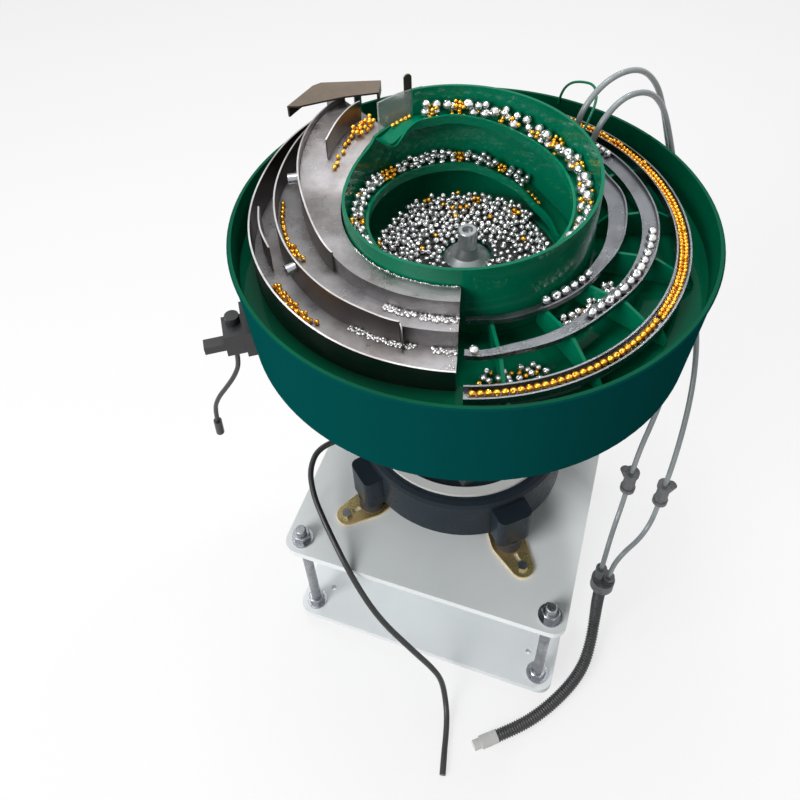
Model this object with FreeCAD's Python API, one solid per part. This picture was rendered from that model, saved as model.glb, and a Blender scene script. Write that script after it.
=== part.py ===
import FreeCAD, Part
import math
import os

from FreeCAD import Vector

# Vibratory bowl feeder on a two-plate stand, in millimetres. Z points up, the bowl's axis is the Z axis,
# and the origin is the middle of the four fixing holes on the underside of the lower plate.

# Stand
plate_width = 330.0
plate_depth = 370.0
plate_thickness = 10.0
plate_corner = 16.0
plate_spacing = 165.0
stud_diameter = 12.0
stud_inset = 19.0
stud_below = 20.0
stud_above = 9.0
nut_across_flats = 18.0
nut_height = 10.0
washer_diameter = 26.0
washer_thickness = 2.5
fixing_hole_diameter = 7.0
fixing_span_x = 262.0
fixing_span_y = 288.0

# Rubber mounts
mount_radius = 128.0
mount_angle = 49.0
rubber_diameter = 30.0
rubber_height = 22.0
flange_thickness = 3.0
flange_half_length = 46.0
flange_eye_radius = 13.0
flange_hole_diameter = 7.0
flange_hole_offset = 34.0

# Drive base and magnet
base_radius = 122.0
base_height = 62.0
base_edge_round = 7.0
base_wall = 16.0
base_deck = 20.0
lug_width = 40.0
lug_overhang = 14.0
lug_below_deck = 14.0
lug_round = 8.0
seal_ring_outer = 110.0
seal_ring_inner = 100.0
seal_ring_thickness = 4.0
magnet_width = 70.0
magnet_depth = 46.0
magnet_height = 52.0
magnet_leg = 16.0
coil_wall = 9.0
coil_height = 30.0
air_gap = 2.0
armature_thickness = 12.0
armature_stem_diameter = 30.0

# Leaf springs
spring_count = 4
spring_radius = 69.0
spring_width = 34.0
leaf_thickness = 2.5
leaf_gap = 2.5
leaf_count = 3
spring_lean = 15.0
clamp_height = 30.0
clamp_depth = 30.0
clamp_bolt_boss = 17.2
clamp_bolt_flats = 16.0

# Top frame
frame_radius = 112.0
frame_rim_height = 16.0
frame_plate_thickness = 9.0
frame_top = 464.0

# Bowl
rim_height = 571.0
pan_radius = 222.0
pan_wall = 3.0
pan_depth = 106.0
pan_draft = 6.0
pan_floor_depth = 36.0
pan_bead = 1.2
bowl_radius = 115.0
bowl_wall = 3.0
bowl_floor_depth = 60.0
bowl_crown = 5.0
track_lip_radius = 92.0
track_thickness = 3.0
lip_height = 6.0
lip_thickness = 2.5
exit_start = 134.0
exit_end = 158.0
nut_base_radius = 22.0
nut_neck_radius = 7.8
nut_cone_height = 26.0
nut_head_height = 10.0
centre_bolt_radius = 5.0
fit = 0.3
track_gap = 0.9

# Rails on the pan floor
rail_start = -76.0
rail_end = 98.0
rail_thickness = 2.0
outer_rail_gap = 24.0
outer_rail_width = 13.0
middle_rail_end = 78.0
inner_rail_end = 46.0
rail_lip = 3.0
rail_lip_thickness = 1.5
rib_thickness = 3.0
rib_count = 8

# Stepped steel tray
tray_start = 147.0
tray_end = 282.0
sheet = 2.0
fence_sheet = 1.6
gate_height = 23.0
hood_height = 43.0
hood_skirt = 10.0
guard_thickness = 2.0
guard_low = 35.0
guard_high = 69.0

# Beads
bead_diameter = 7.0
small_bead_diameter = 4.5
bead_clearance = 1.0

os.makedirs("parts", exist_ok=True)

upper_top = plate_thickness + plate_spacing
upper_bottom = upper_top - plate_thickness
base_bottom = upper_top + flange_thickness + rubber_height
base_top = base_bottom + base_height
pan_floor_top = rim_height - pan_floor_depth
bowl_floor_top = rim_height - bowl_floor_depth


def save(name, shape):
    shape.exportStep("parts/" + name + ".step")
    return shape


def polar(radius, degrees, height=0.0):
    turn = math.radians(degrees)
    return Vector(radius * math.cos(turn), radius * math.sin(turn), height)


def cylinder(radius, height, base, axis=Vector(0, 0, 1)):
    return Part.makeCylinder(radius, height, base, axis)


def box(size_x, size_y, size_z, centre_x, centre_y, bottom):
    return Part.makeBox(size_x, size_y, size_z, Vector(centre_x - size_x / 2, centre_y - size_y / 2, bottom))


def turned(points):
    """A solid of revolution about Z from an outline of (radius, height) points."""
    outline = Part.makePolygon([Vector(r, 0, z) for r, z in points + points[:1]])
    return Part.Face(outline).revolve(Vector(0, 0, 0), Vector(0, 0, 1), 360)


def swept_arc(section, start, end, step=12.0):
    """A curved strip: section(azimuth) gives its outline of (radius, height) points at that azimuth."""
    count = max(3, int(round((end - start) / step)) + 1)
    stations = []
    for i in range(count):
        azimuth = start + (end - start) * i / (count - 1)
        points = section(azimuth)
        stations.append(Part.makePolygon([polar(r, azimuth, z) for r, z in points + points[:1]]))
    return Part.makeLoft(stations, True, False)


def between(stations, azimuth):
    """A size read off a short list of (azimuth, size) pairs, eased between its neighbours."""
    if azimuth <= stations[0][0]:
        return stations[0][1]
    for (a0, v0), (a1, v1) in zip(stations, stations[1:]):
        if azimuth <= a1:
            share = (azimuth - a0) / (a1 - a0)
            return v0 + (v1 - v0) * share
    return stations[-1][1]


def rounded_plate(width, depth, corner, thickness, bottom):
    """A flat plate with its four upright corners rounded."""
    plate = box(width, depth, thickness, 0, 0, bottom)
    upright = [e for e in plate.Edges if abs(e.BoundBox.ZLength - thickness) < 1e-6 and e.BoundBox.XLength < 1e-6]
    return plate.makeFillet(corner, upright)


def hexagon_prism(across_flats, height, base, axis=Vector(0, 0, 1)):
    radius = across_flats / math.sqrt(3)
    outline = Part.makePolygon([polar(radius, 60 * i) for i in range(7)])
    prism = Part.Face(outline).extrude(Vector(0, 0, height))
    prism.Placement = FreeCAD.Placement(base, FreeCAD.Rotation(Vector(0, 0, 1), axis))
    return prism


def tube(points, radius, report):
    """A round cord along straight runs joined by tangent arcs, each as large as its two runs allow."""
    points = [Vector(*p) for p in points]
    edges, radii = [], []
    start = points[0]
    for before, corner, after in zip(points, points[1:], points[2:]):
        inward, outward = corner - before, after - corner
        turn = inward.getAngle(outward)
        reach = 0.45 * min(inward.Length, outward.Length)
        arc_radius = reach / math.tan(turn / 2)
        radii.append(arc_radius)
        inward, outward = inward.normalize(), outward.normalize()
        arc_start, arc_end = corner - inward * reach, corner + outward * reach
        bisector = (outward - inward).normalize()
        middle = corner + bisector * (arc_radius / math.cos(turn / 2) - arc_radius)
        edges.append(Part.LineSegment(start, arc_start).toShape())
        edges.append(Part.Arc(arc_start, middle, arc_end).toShape())
        start = arc_end
    edges.append(Part.LineSegment(start, points[-1]).toShape())
    path = Part.Wire(edges)
    normal = (points[1] - points[0]).normalize()
    ring = Part.Wire(Part.Circle(points[0], normal, radius).toShape())
    solid = path.makePipeShell([ring], True, False)
    expected = path.Length * math.pi * radius ** 2
    print(report, "length", round(path.Length), "least radius", round(min(radii), 1),
          "volume ratio", round(solid.Volume / expected, 3))
    return solid


# Stand: two plates, four studs, and a nut and washer on each side of each plate
corners = [(sx * (plate_width / 2 - stud_inset), sy * (plate_depth / 2 - stud_inset))
           for sx in (-1, 1) for sy in (-1, 1)]


def stand_plate(bottom, fixing_holes):
    plate = rounded_plate(plate_width, plate_depth, plate_corner, plate_thickness, bottom)
    for x, y in corners:
        plate = plate.cut(cylinder(stud_diameter / 2 + fit, plate_thickness + 2, Vector(x, y, bottom - 1)))
    for x, y, diameter in fixing_holes:
        plate = plate.cut(cylinder(diameter / 2, plate_thickness + 2, Vector(x, y, bottom - 1)))
    return plate


fixing_holes = [(sx * fixing_span_x / 2, sy * fixing_span_y / 2, fixing_hole_diameter)
                for sx in (-1, 1) for sy in (-1, 1)]
mount_angles = [mount_angle, 180 - mount_angle, 180 + mount_angle, 360 - mount_angle]
mount_centres = [polar(mount_radius, angle) for angle in mount_angles]
flange_bolts = []
for angle, centre in zip(mount_angles, mount_centres):
    for side in (-1, 1):
        point = centre + polar(side * flange_hole_offset, angle)
        flange_bolts.append((point.x, point.y, flange_hole_diameter))

save("lower_plate", stand_plate(0.0, fixing_holes))
save("upper_plate", stand_plate(upper_bottom, flange_bolts))

stud_length = stud_below + upper_top + washer_thickness + nut_height + stud_above
studs = []
for x, y in corners:
    stud = cylinder(stud_diameter / 2, stud_length, Vector(x, y, -stud_below))
    studs.append(stud.makeChamfer(1.2, [e for e in stud.Edges if isinstance(e.Curve, Part.Circle)]))
save("corner_studs", Part.makeCompound(studs))


def nut_and_washer(x, y, face, up):
    """A nut on its washer, seated on a plate face, above it or below it."""
    washer_bottom = face if up else face - washer_thickness
    washer = cylinder(washer_diameter / 2, washer_thickness, Vector(x, y, washer_bottom))
    nut_bottom = face + washer_thickness if up else face - washer_thickness - nut_height
    nut = hexagon_prism(nut_across_flats, nut_height, Vector(x, y, nut_bottom))
    bevel = Part.makeCone(nut_across_flats / 2 * 0.98 + nut_height * 1.73, nut_across_flats / 2 * 0.98,
                          nut_height, Vector(x, y, nut_bottom))
    nut = nut.common(bevel) if up else nut
    hole = cylinder(stud_diameter / 2 + 0.1, 60, Vector(x, y, face - 30))
    return nut.cut(hole), washer.cut(hole)


nuts, washers = [], []
for x, y in corners:
    for face, up in ((0.0, False), (plate_thickness, True), (upper_bottom, False), (upper_top, True)):
        nut, washer = nut_and_washer(x, y, face, up)
        nuts.append(nut)
        washers.append(washer)
save("stud_nuts", Part.makeCompound(nuts))
save("stud_washers", Part.makeCompound(washers))


# Rubber mounts: an oval two-bolt flange with a bonded rubber buffer, its bolt heads, and the drive on top
def oval_flange(angle, centre):
    eye = cylinder(flange_eye_radius, flange_thickness, Vector(0, 0, 0))
    hub = cylinder(rubber_diameter / 2 + 5, flange_thickness, Vector(0, 0, 0))
    reach = flange_half_length - flange_eye_radius
    flange = hub
    for side in (-1, 1):
        tip = eye.copy()
        tip.translate(Vector(side * reach, 0, 0))
        hub_radius = rubber_diameter / 2 + 5
        lean = math.asin((hub_radius - flange_eye_radius) / reach)
        sine, cosine = math.sin(lean), math.cos(lean)
        web_points = [(hub_radius * sine, hub_radius * cosine),
                      (reach + flange_eye_radius * sine, flange_eye_radius * cosine),
                      (reach + flange_eye_radius * sine, -flange_eye_radius * cosine),
                      (hub_radius * sine, -hub_radius * cosine)]
        web = Part.Face(Part.makePolygon([Vector(side * x, y, 0) for x, y in web_points + web_points[:1]]))
        flange = flange.fuse([tip, web.extrude(Vector(0, 0, flange_thickness))])
    flange = flange.removeSplitter()
    for side in (-1, 1):
        flange = flange.cut(cylinder(flange_hole_diameter / 2, flange_thickness + 2,
                                     Vector(side * flange_hole_offset, 0, -1)))
        slot = box(10, 5, flange_thickness + 2, side * (flange_hole_offset - 13), 0, -1)
        flange = flange.cut(slot)
    flange.rotate(Vector(0, 0, 0), Vector(0, 0, 1), angle)
    flange.translate(centre + Vector(0, 0, upper_top))
    return flange


flanges, rubbers, flange_screws = [], [], []
for angle, centre in zip(mount_angles, mount_centres):
    flanges.append(oval_flange(angle, centre))
    profile = [(0, 0), (rubber_diameter / 2, 0), (rubber_diameter / 2, 3), (rubber_diameter / 2 - 3, rubber_height / 2),
               (rubber_diameter / 2, rubber_height - 3), (rubber_diameter / 2, rubber_height), (0, rubber_height)]
    rubber = turned(profile)
    rubber.translate(centre + Vector(0, 0, upper_top + flange_thickness))
    rubbers.append(rubber)
    for side in (-1, 1):
        foot = centre + polar(side * flange_hole_offset, angle) + Vector(0, 0, upper_top + flange_thickness)
        head = hexagon_prism(10.0, 4.5, foot)
        shank = cylinder(flange_hole_diameter / 2 - 0.5, flange_thickness + plate_thickness + 6,
                         foot - Vector(0, 0, flange_thickness + plate_thickness + 6))
        flange_screws.append(head.fuse(shank))
save("mount_flanges", Part.makeCompound(flanges))
save("rubber_mounts", Part.makeCompound(rubbers))
save("flange_screws", Part.makeCompound(flange_screws))

# Drive base: a heavy drum casting, hollow underneath, with a lug over each rubber mount
outline = [(0, base_height - base_deck), (base_radius - base_wall, base_height - base_deck),
           (base_radius - base_wall + 4, 0), (base_radius, 0), (base_radius, base_height - base_edge_round),
           (base_radius - base_edge_round * 0.3, base_height - base_edge_round * 0.3),
           (base_radius - base_edge_round, base_height), (0, base_height)]
drum = turned(outline)
for angle in mount_angles:
    lug_start, lug_end = base_radius - base_wall / 2, mount_radius + lug_overhang
    lug = box(lug_end - lug_start, lug_width, base_height - lug_below_deck, (lug_end + lug_start) / 2, 0, 0)
    upright = [e for e in lug.Edges if e.BoundBox.XLength + e.BoundBox.YLength < 1e-6 and e.BoundBox.XMin > base_radius]
    lug = lug.makeFillet(lug_round, upright)
    lug.rotate(Vector(0, 0, 0), Vector(0, 0, 1), angle)
    drum = drum.fuse(lug)
drum.translate(Vector(0, 0, base_bottom))
drive_base = save("drive_base", drum.removeSplitter())
save("seal_ring", turned([(seal_ring_inner, base_top), (seal_ring_outer, base_top),
                          (seal_ring_outer, base_top + seal_ring_thickness),
                          (seal_ring_inner, base_top + seal_ring_thickness)]))

# Electromagnet: a laminated E core with a coil on its middle leg, and the armature above the gap
core = box(magnet_width, magnet_depth, magnet_height, 0, 0, base_top)
for side in (-1, 1):
    window = (magnet_width - 2 * magnet_leg - magnet_leg) / 2
    slot_x = side * (magnet_leg / 2 + window / 2)
    core = core.cut(box(window, magnet_depth + 2, coil_height + 4, slot_x, 0, base_top + magnet_height - coil_height - 4))
save("magnet_core", core)
coil_bottom = base_top + magnet_height - coil_height - 2
coil = box(magnet_leg + 2 * coil_wall, magnet_depth + 2 * coil_wall, coil_height, 0, 0, coil_bottom)
coil = coil.makeFillet(4, [e for e in coil.Edges if e.BoundBox.ZLength > coil_height - 1])
coil = coil.cut(box(magnet_leg + 2 * fit, magnet_depth + 2 * fit, coil_height + 2, 0, 0, coil_bottom - 1))
save("magnet_coil", coil)
frame_bottom = frame_top - frame_rim_height
armature_bottom = base_top + magnet_height + air_gap
stem_bottom = armature_bottom + armature_thickness
armature = box(magnet_width, magnet_depth, armature_thickness, 0, 0, armature_bottom)
save("armature", armature)
stem_top = frame_top - frame_plate_thickness
save("armature_stem", cylinder(armature_stem_diameter / 2, stem_top - stem_bottom, Vector(0, 0, stem_bottom)))

# Leaf springs: packs that lean round the axis between a clamp on the base and a clamp under the top frame
lower_clamp_top = base_top + clamp_height
upper_clamp_bottom = stem_top - clamp_height
spring_rise = stem_top - base_top
lean_offset = spring_rise / 2 * math.tan(math.radians(spring_lean))


def leaning_block(half_thickness, centre_shift, width, bottom, top, radial_centre):
    """A block between two levels, whose sides follow the lean of the springs. X is radial, Y is round the axis."""
    wires = []
    for level in (bottom, top):
        shift = lean_offset * (2 * (level - base_top) / spring_rise - 1) + centre_shift
        wires.append(Part.makePolygon([
            Vector(radial_centre - width / 2, shift - half_thickness, level),
            Vector(radial_centre + width / 2, shift - half_thickness, level),
            Vector(radial_centre + width / 2, shift + half_thickness, level),
            Vector(radial_centre - width / 2, shift + half_thickness, level),
            Vector(radial_centre - width / 2, shift - half_thickness, level)]))
    return Part.makeLoft(wires, True, True)


spring_angles = [45 + 360 / spring_count * i for i in range(spring_count)]
leaves, lower_clamps, upper_clamps, clamp_bolts_low, clamp_bolts_high = [], [], [], [], []
pack_half = (leaf_count * leaf_thickness + (leaf_count - 1) * leaf_gap) / 2
boss_height = 3.6
boss_sink = 3.0
for angle in spring_angles:
    pieces = []
    for i in range(leaf_count):
        shift = (i - (leaf_count - 1) / 2) * (leaf_thickness + leaf_gap)
        pieces.append(("leaf", leaning_block(leaf_thickness / 2, shift, spring_width, base_top + 1,
                                             stem_top - 1, spring_radius)))
    for i in range(leaf_count - 1):
        shift = (i - (leaf_count - 2) / 2) * (leaf_thickness + leaf_gap)
        pieces.append(("low", leaning_block(leaf_gap / 2, shift, spring_width, base_top + 2,
                                            lower_clamp_top, spring_radius)))
        pieces.append(("high", leaning_block(leaf_gap / 2, shift, spring_width, upper_clamp_bottom,
                                             stem_top - 2, spring_radius)))
    for kind, low, high in (("low", base_top, lower_clamp_top), ("high", upper_clamp_bottom, stem_top)):
        jaws = [leaning_block(clamp_depth / 4, side * (pack_half + clamp_depth / 4), spring_width, low, high,
                              spring_radius) for side in (-1, 1)]
        pieces += [(kind, jaw) for jaw in jaws]
        level = (low + high) / 2
        face = lean_offset * (2 * (level - base_top) / spring_rise - 1) - pack_half - clamp_depth / 2
        boss = cylinder(clamp_bolt_boss / 2, boss_height + boss_sink, Vector(spring_radius, face - boss_height, level),
                        Vector(0, 1, 0))
        head = hexagon_prism(clamp_bolt_flats, 7.0, Vector(spring_radius, face - boss_height - 7.0, level),
                             Vector(0, 1, 0))
        pieces.append((kind + "_bolt", boss.cut(jaws[0]).Solids[0].fuse(head)))
    for kind, piece in pieces:
        piece.rotate(Vector(0, 0, 0), Vector(0, 0, 1), angle)
        {"leaf": leaves, "low": lower_clamps, "high": upper_clamps, "low_bolt": clamp_bolts_low,
         "high_bolt": clamp_bolts_high}[kind].append(piece)
save("leaf_springs", Part.makeCompound(leaves))
save("lower_spring_clamps", Part.makeCompound(lower_clamps))
save("upper_spring_clamps", Part.makeCompound(upper_clamps))
save("lower_clamp_bolts", Part.makeCompound(clamp_bolts_low))
save("upper_clamp_bolts", Part.makeCompound(clamp_bolts_high))

# Top frame: a dished plate that ties the upper clamps together and carries the bowl
frame_outline = [(0, frame_top - frame_plate_thickness), (frame_radius - 9, frame_top - frame_plate_thickness),
                 (frame_radius - 9, frame_bottom), (frame_radius, frame_bottom), (frame_radius, frame_top - 2),
                 (frame_radius - 2, frame_top), (0, frame_top)]
save("top_frame", turned(frame_outline))


# Inner bowl: wall, domed floor, hub and bottom flange, with the climbing track inside. The track climbs from the
# floor for one and a third turns. The wall's rim climbs above it, ends in a step, and is open over the outlet ledge.
track_end = exit_end + 360
track_line = [(30, -53.7), (42, -51.6), (54, -46.2), (66, -37.8), (80, -28), (105, -16), (137, -13), (250, -4), (360, 11), (427, 26),
              (469, 40), (494, 43), (518, 38)]
rim_line = [(158, 37), (172, 27), (190, 22.5), (494, 70.6)]
bowl_inside = bowl_radius - bowl_wall
hub_radius = 26.0


def track_height(azimuth):
    return rim_height + between(track_line, azimuth)


def above_rim(azimuth):
    """What is cut off above the climbing rim of the bowl's wall."""
    top = rim_height + between(rim_line, azimuth)
    return [(bowl_inside - 6, top), (bowl_radius + 6, top), (bowl_radius + 6, rim_high + 9), (bowl_inside - 6, rim_high + 9)]


def above_ledge(azimuth):
    """What is cut off above the outlet ledge, level with the end of the track."""
    top = track_height(azimuth)
    return [(bowl_inside - 6, top), (bowl_radius + 6, top), (bowl_radius + 6, rim_high + 9), (bowl_inside - 6, rim_high + 9)]


rim_high = rim_height + rim_line[-1][1]
outer_skin = turned([(0, frame_top + fit), (bowl_radius, frame_top + fit), (bowl_radius, rim_high),
                     (bowl_inside, rim_high), (bowl_inside, bowl_floor_top), (30, bowl_floor_top + bowl_crown),
                     (0, bowl_floor_top + bowl_crown)])
cavity = turned([(hub_radius, frame_top + 6), (bowl_inside, frame_top + 6), (bowl_inside, bowl_floor_top - 4),
                 (hub_radius, bowl_floor_top + bowl_crown - 4)])
bowl_shell = outer_skin.cut(cavity)
rim_span = (exit_start + 360 - exit_end) / 3
for i in range(3):
    bowl_shell = bowl_shell.cut(swept_arc(above_rim, exit_end + i * rim_span, exit_end + (i + 1) * rim_span))
bowl_shell = bowl_shell.cut(swept_arc(above_ledge, exit_start + 360, track_end))
bolt_clearance = 0.2
bowl_shell = bowl_shell.cut(cylinder(centre_bolt_radius + bolt_clearance, 100, Vector(0, 0, frame_top - 10)))
save("inner_bowl", bowl_shell)


def track_section(azimuth):
    top = track_height(azimuth)
    outer = bowl_inside - track_gap
    lip = between([(exit_start + 360, lip_height), (exit_start + 368, 0.5)], azimuth)
    return [(track_lip_radius, top - track_thickness), (outer, top - track_thickness), (outer, top),
            (track_lip_radius + lip_thickness, top), (track_lip_radius + lip_thickness, top + lip),
            (track_lip_radius, top + lip)]


save("spiral_track", swept_arc(track_section, track_line[0][0], track_end))

# Centre bolt and cone nut that clamp the bowl to the top frame
nut_base = bowl_floor_top + bowl_crown
nut_top = nut_base + nut_cone_height + nut_head_height
save("centre_bolt", cylinder(centre_bolt_radius, nut_top - 5 - frame_top, Vector(0, 0, frame_top)))
nut_bore = centre_bolt_radius + bolt_clearance
cone = turned([(nut_bore, nut_base), (nut_base_radius, nut_base), (nut_base_radius, nut_base + 2),
               (nut_base_radius - 7, nut_base + nut_cone_height * 0.32), (nut_neck_radius + 2, nut_base + nut_cone_height * 0.65),
               (nut_neck_radius, nut_base + nut_cone_height), (nut_neck_radius + 1.4, nut_base + nut_cone_height + 1),
               (nut_neck_radius + 1.4, nut_top - 1), (nut_neck_radius + 0.6, nut_top), (nut_bore, nut_top)])
save("cone_nut", cone)

# Outer pan: a drafted wall with a turned edge and a ring floor round the inner bowl
pan_bottom = rim_height - pan_depth
pan_low_radius = pan_radius - pan_draft
floor_share = (pan_floor_top - pan_bottom) / pan_depth
floor_wall = pan_low_radius + pan_draft * floor_share - pan_wall
pan = turned([(pan_low_radius - pan_wall, pan_bottom), (pan_low_radius, pan_bottom),
              (pan_radius, rim_height - 3), (pan_radius + pan_bead, rim_height - 1.5), (pan_radius, rim_height),
              (pan_radius - pan_wall, rim_height), (floor_wall, pan_floor_top), (bowl_radius + fit, pan_floor_top),
              (bowl_radius + fit, pan_floor_top - 14), (bowl_radius + fit + 3, pan_floor_top - 14),
              (bowl_radius + fit + 3, pan_floor_top - 3), (floor_wall, pan_floor_top - 3)])
outer_pan = save("outer_pan", pan)


# Rails: thin steel strips that climb gently along the ribs of the pan floor. The two inner ones widen towards the
# back, and each edge is given as a share of the way from the bowl's wall to the outer rail.
outer_rail_radius = pan_radius - outer_rail_gap
outer_rail_inside = outer_rail_radius - outer_rail_width
middle_outside = [(-76, 0.714), (-50, 0.68), (-30, 0.65), (17, 0.814), (60, 0.88), (78, 0.91)]
middle_inside = [(-76, 0.585), (-50, 0.52), (-30, 0.46), (17, 0.60), (60, 0.665), (78, 0.695)]
inner_outside = [(-76, 0.165), (-40, 0.18), (-16, 0.225), (14, 0.40), (24, 0.47), (46, 0.56)]
inner_inside = [(-76, 0.05), (-40, 0.055), (-16, 0.07), (14, 0.165), (24, 0.225), (46, 0.31)]


def rail_rise(azimuth):
    return (azimuth - rail_start) / (rail_end - rail_start)


def outer_rail(azimuth):
    """A channel: two thin walls on a floor."""
    level = rim_height - 20 + 20 * rail_rise(azimuth)
    return [(outer_rail_inside, level - 7), (outer_rail_radius, level - 7), (outer_rail_radius, level),
            (outer_rail_radius - rail_lip_thickness, level), (outer_rail_radius - rail_lip_thickness, level - 5),
            (outer_rail_inside + rail_lip_thickness, level - 5), (outer_rail_inside + rail_lip_thickness, level + 1),
            (outer_rail_inside, level + 1)]


def ribbon(inside_line, outside_line, level, azimuth):
    """A flat ribbon with a low lip along its outer edge."""
    reach = outer_rail_inside - bowl_radius
    inside, outside = (bowl_radius + between(line, azimuth) * reach for line in (inside_line, outside_line))
    return [(inside, level - rail_thickness), (outside, level - rail_thickness), (outside, level + rail_lip),
            (outside - rail_lip_thickness, level + rail_lip), (outside - rail_lip_thickness, level), (inside, level)]


def middle_rail(azimuth):
    return ribbon(middle_inside, middle_outside, rim_height - 10 + 4 * rail_rise(azimuth), azimuth)


def inner_rail(azimuth):
    return ribbon(inner_inside, inner_outside, rim_height - 12 + 6 * rail_rise(azimuth), azimuth)


save("outer_rail", swept_arc(outer_rail, rail_start, rail_end))
save("middle_rail", swept_arc(middle_rail, rail_start, middle_rail_end))
save("inner_rail", swept_arc(inner_rail, rail_start, inner_rail_end))

ribs = []
for i in range(rib_count):
    azimuth = rail_start + 10 + (rail_end - rail_start - 22) * i / (rib_count - 1)
    inside, middle, outside = inner_rail(azimuth), middle_rail(azimuth), outer_rail(azimuth)
    low = pan_floor_top
    steps = [(bowl_radius + 2, low), (outside[1][0] + 6, low), (outside[1][0] + 6, low + 6),
             (outside[1][0], outside[0][1] - fit), (outside[0][0], outside[0][1] - fit)]
    if azimuth < middle_rail_end:
        steps += [(middle[1][0] + 2, middle[0][1] - fit), (middle[0][0], middle[0][1] - fit)]
    if azimuth < inner_rail_end:
        steps += [(inside[1][0], inside[0][1] - fit), (inside[0][0], inside[0][1] - fit)]
    steps += [(bowl_radius + 2, low + 12)]
    face = Part.Face(Part.makePolygon([polar(r, azimuth, z) for r, z in steps + steps[:1]]))
    across = polar(1, azimuth + 90)
    rib = face.extrude(across * rib_thickness)
    rib.translate(across * (-rib_thickness / 2))
    ribs.append(rib)
save("floor_ribs", Part.makeCompound(ribs))

# Stepped tray: one folded sheet in three steps round the left of the bowl, with upright fences on its steps
# The lines of the fences are given as a share of the way from the bowl's wall to the pan's rim.
fence_a = [(147, 0.925), (165, 0.9), (182, 0.855), (205, 0.82), (228, 0.757), (250, 0.682), (270, 0.617), (282, 0.589)]
fence_b = [(147, 0.82), (165, 0.75), (182, 0.673), (205, 0.551), (228, 0.449), (250, 0.374), (270, 0.327), (282, 0.318)]
fence_c = [(147, 0.69), (160, 0.65), (178, 0.505), (189, 0.393), (205, 0.271), (228, 0.206), (250, 0.187), (282, 0.168)]


def line_radius(line, azimuth):
    return bowl_radius + between(line, azimuth) * (pan_radius - bowl_radius)


def tray_levels(azimuth):
    share = (azimuth - tray_start) / (tray_end - tray_start)
    inner = rim_height + between([(147, 33), (158, 33), (172, 24), (190, 14), (230, 13), (282, 20)], azimuth)
    middle = rim_height - 14 + 16 * share
    outer = rim_height - 30 + 12 * share
    return inner, middle, outer


def tray_section(azimuth):
    a, b, c = (line_radius(line, azimuth) for line in (fence_a, fence_b, fence_c))
    inner, middle, outer = tray_levels(azimuth)
    inside = bowl_radius + 1.5
    edge = a - fence_sheet - 0.2
    return [(inside, pan_floor_top), (inside, inner), (c, inner), (c, middle), (b, middle), (b, outer), (edge, outer),
            (edge, outer - sheet), (b - sheet, outer - sheet), (b - sheet, middle - sheet), (c - sheet, middle - sheet),
            (c - sheet, inner - sheet), (inside + sheet, inner - sheet), (inside + sheet, pan_floor_top)]


save("steel_tray", swept_arc(tray_section, tray_start, tray_end, 9))


def fence(line, foot, top, outward=0.2):
    """An upright strip along one of the tray's lines."""
    def section(azimuth):
        r = line_radius(line, azimuth) + outward
        low, high = foot(azimuth), top(azimuth)
        return [(r, low), (r + fence_sheet, low), (r + fence_sheet, high), (r, high)]
    return section


def top_a(azimuth):
    return rim_height + between([(147, 14), (182, 8), (228, 0), (250, -7), (282, -13)], azimuth)


def top_b(azimuth):
    return rim_height + between([(147, 24), (182, 12), (228, 8), (262, 6)], azimuth)


def top_c(azimuth):
    return rim_height + between([(147, hood_height - 4), (156, hood_height - 5), (165, 36), (182, 29), (205, 22), (230, 18)], azimuth)


save("outer_fence", swept_arc(fence(fence_a, lambda azimuth: pan_floor_top, top_a, -fence_sheet), tray_start, tray_end, 9))
save("middle_fence", swept_arc(fence(fence_b, lambda azimuth: tray_levels(azimuth)[2], top_b), tray_start, 264, 9))
save("inner_fence", swept_arc(fence(fence_c, lambda azimuth: tray_levels(azimuth)[1], top_c, 0.4), tray_start, 228, 9))

# Deflectors: short bent strips that turn parts off the tray, and the two slotted screws that set the fences
fork = [(194, 0.757), (203, 0.71), (212, 0.645)]
gate = [(151, 0.3), (162, 0.29), (174, 0.262)]
lift = 0.6
fork_strip = swept_arc(fence(fork, lambda azimuth: tray_levels(azimuth)[2] + lift,
                             lambda azimuth: rim_height + 4), 194, 212, 4.5)
gate_strip = swept_arc(fence(gate, lambda azimuth: tray_levels(azimuth)[0] + lift,
                             lambda azimuth: tray_levels(azimuth)[0] + gate_height), 151, 174, 6)
save("deflectors", Part.makeCompound([fork_strip, gate_strip]))
screws = []
for azimuth, line, top in ((186, fence_c, top_c), (222, fence_b, top_b)):
    ahead, behind = (polar(line_radius(line, azimuth + turn), azimuth + turn) for turn in (4, -4))
    outward = (ahead - behind).cross(Vector(0, 0, 1)).normalize()
    seat = polar(line_radius(line, azimuth) + fence_sheet + 0.8, azimuth, top(azimuth) - 7)
    body = cylinder(5.0, 9.0, seat, outward)
    slot = box(3, 12, 1.4, 0, 0, -0.7)
    slot.Placement = FreeCAD.Placement(seat + outward * 8.0, FreeCAD.Rotation(Vector(1, 0, 0), outward))
    screws.append(body.cut(slot))
save("fence_screws", Part.makeCompound(screws))


# Hood over the head of the tray: a flat plate with its two ends folded down. Its corners are (share, azimuth), with
# the share of the way from the bowl's wall to the pan's rim.
hood_corners = [(0.916, 163.4), (0.985, 151.9), (0.972, 149.3), (0.645, 134.5), (0.461, 138.7), (0.607, 149.0), (0.822, 161.6)]
hood_bottom = rim_height + hood_height
hood_points = [polar(bowl_radius + share * (pan_radius - bowl_radius), azimuth, hood_bottom) for share, azimuth in hood_corners]


def folded_end(start, end):
    """A strip that hangs from the hood along one of its edges, one sheet thick."""
    inward = Vector(0, 0, 1).cross(start - end).normalize() * sheet
    corners = [start, end, end + inward, start + inward]
    return Part.Face(Part.makePolygon(corners + corners[:1])).extrude(Vector(0, 0, -hood_skirt))


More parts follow.
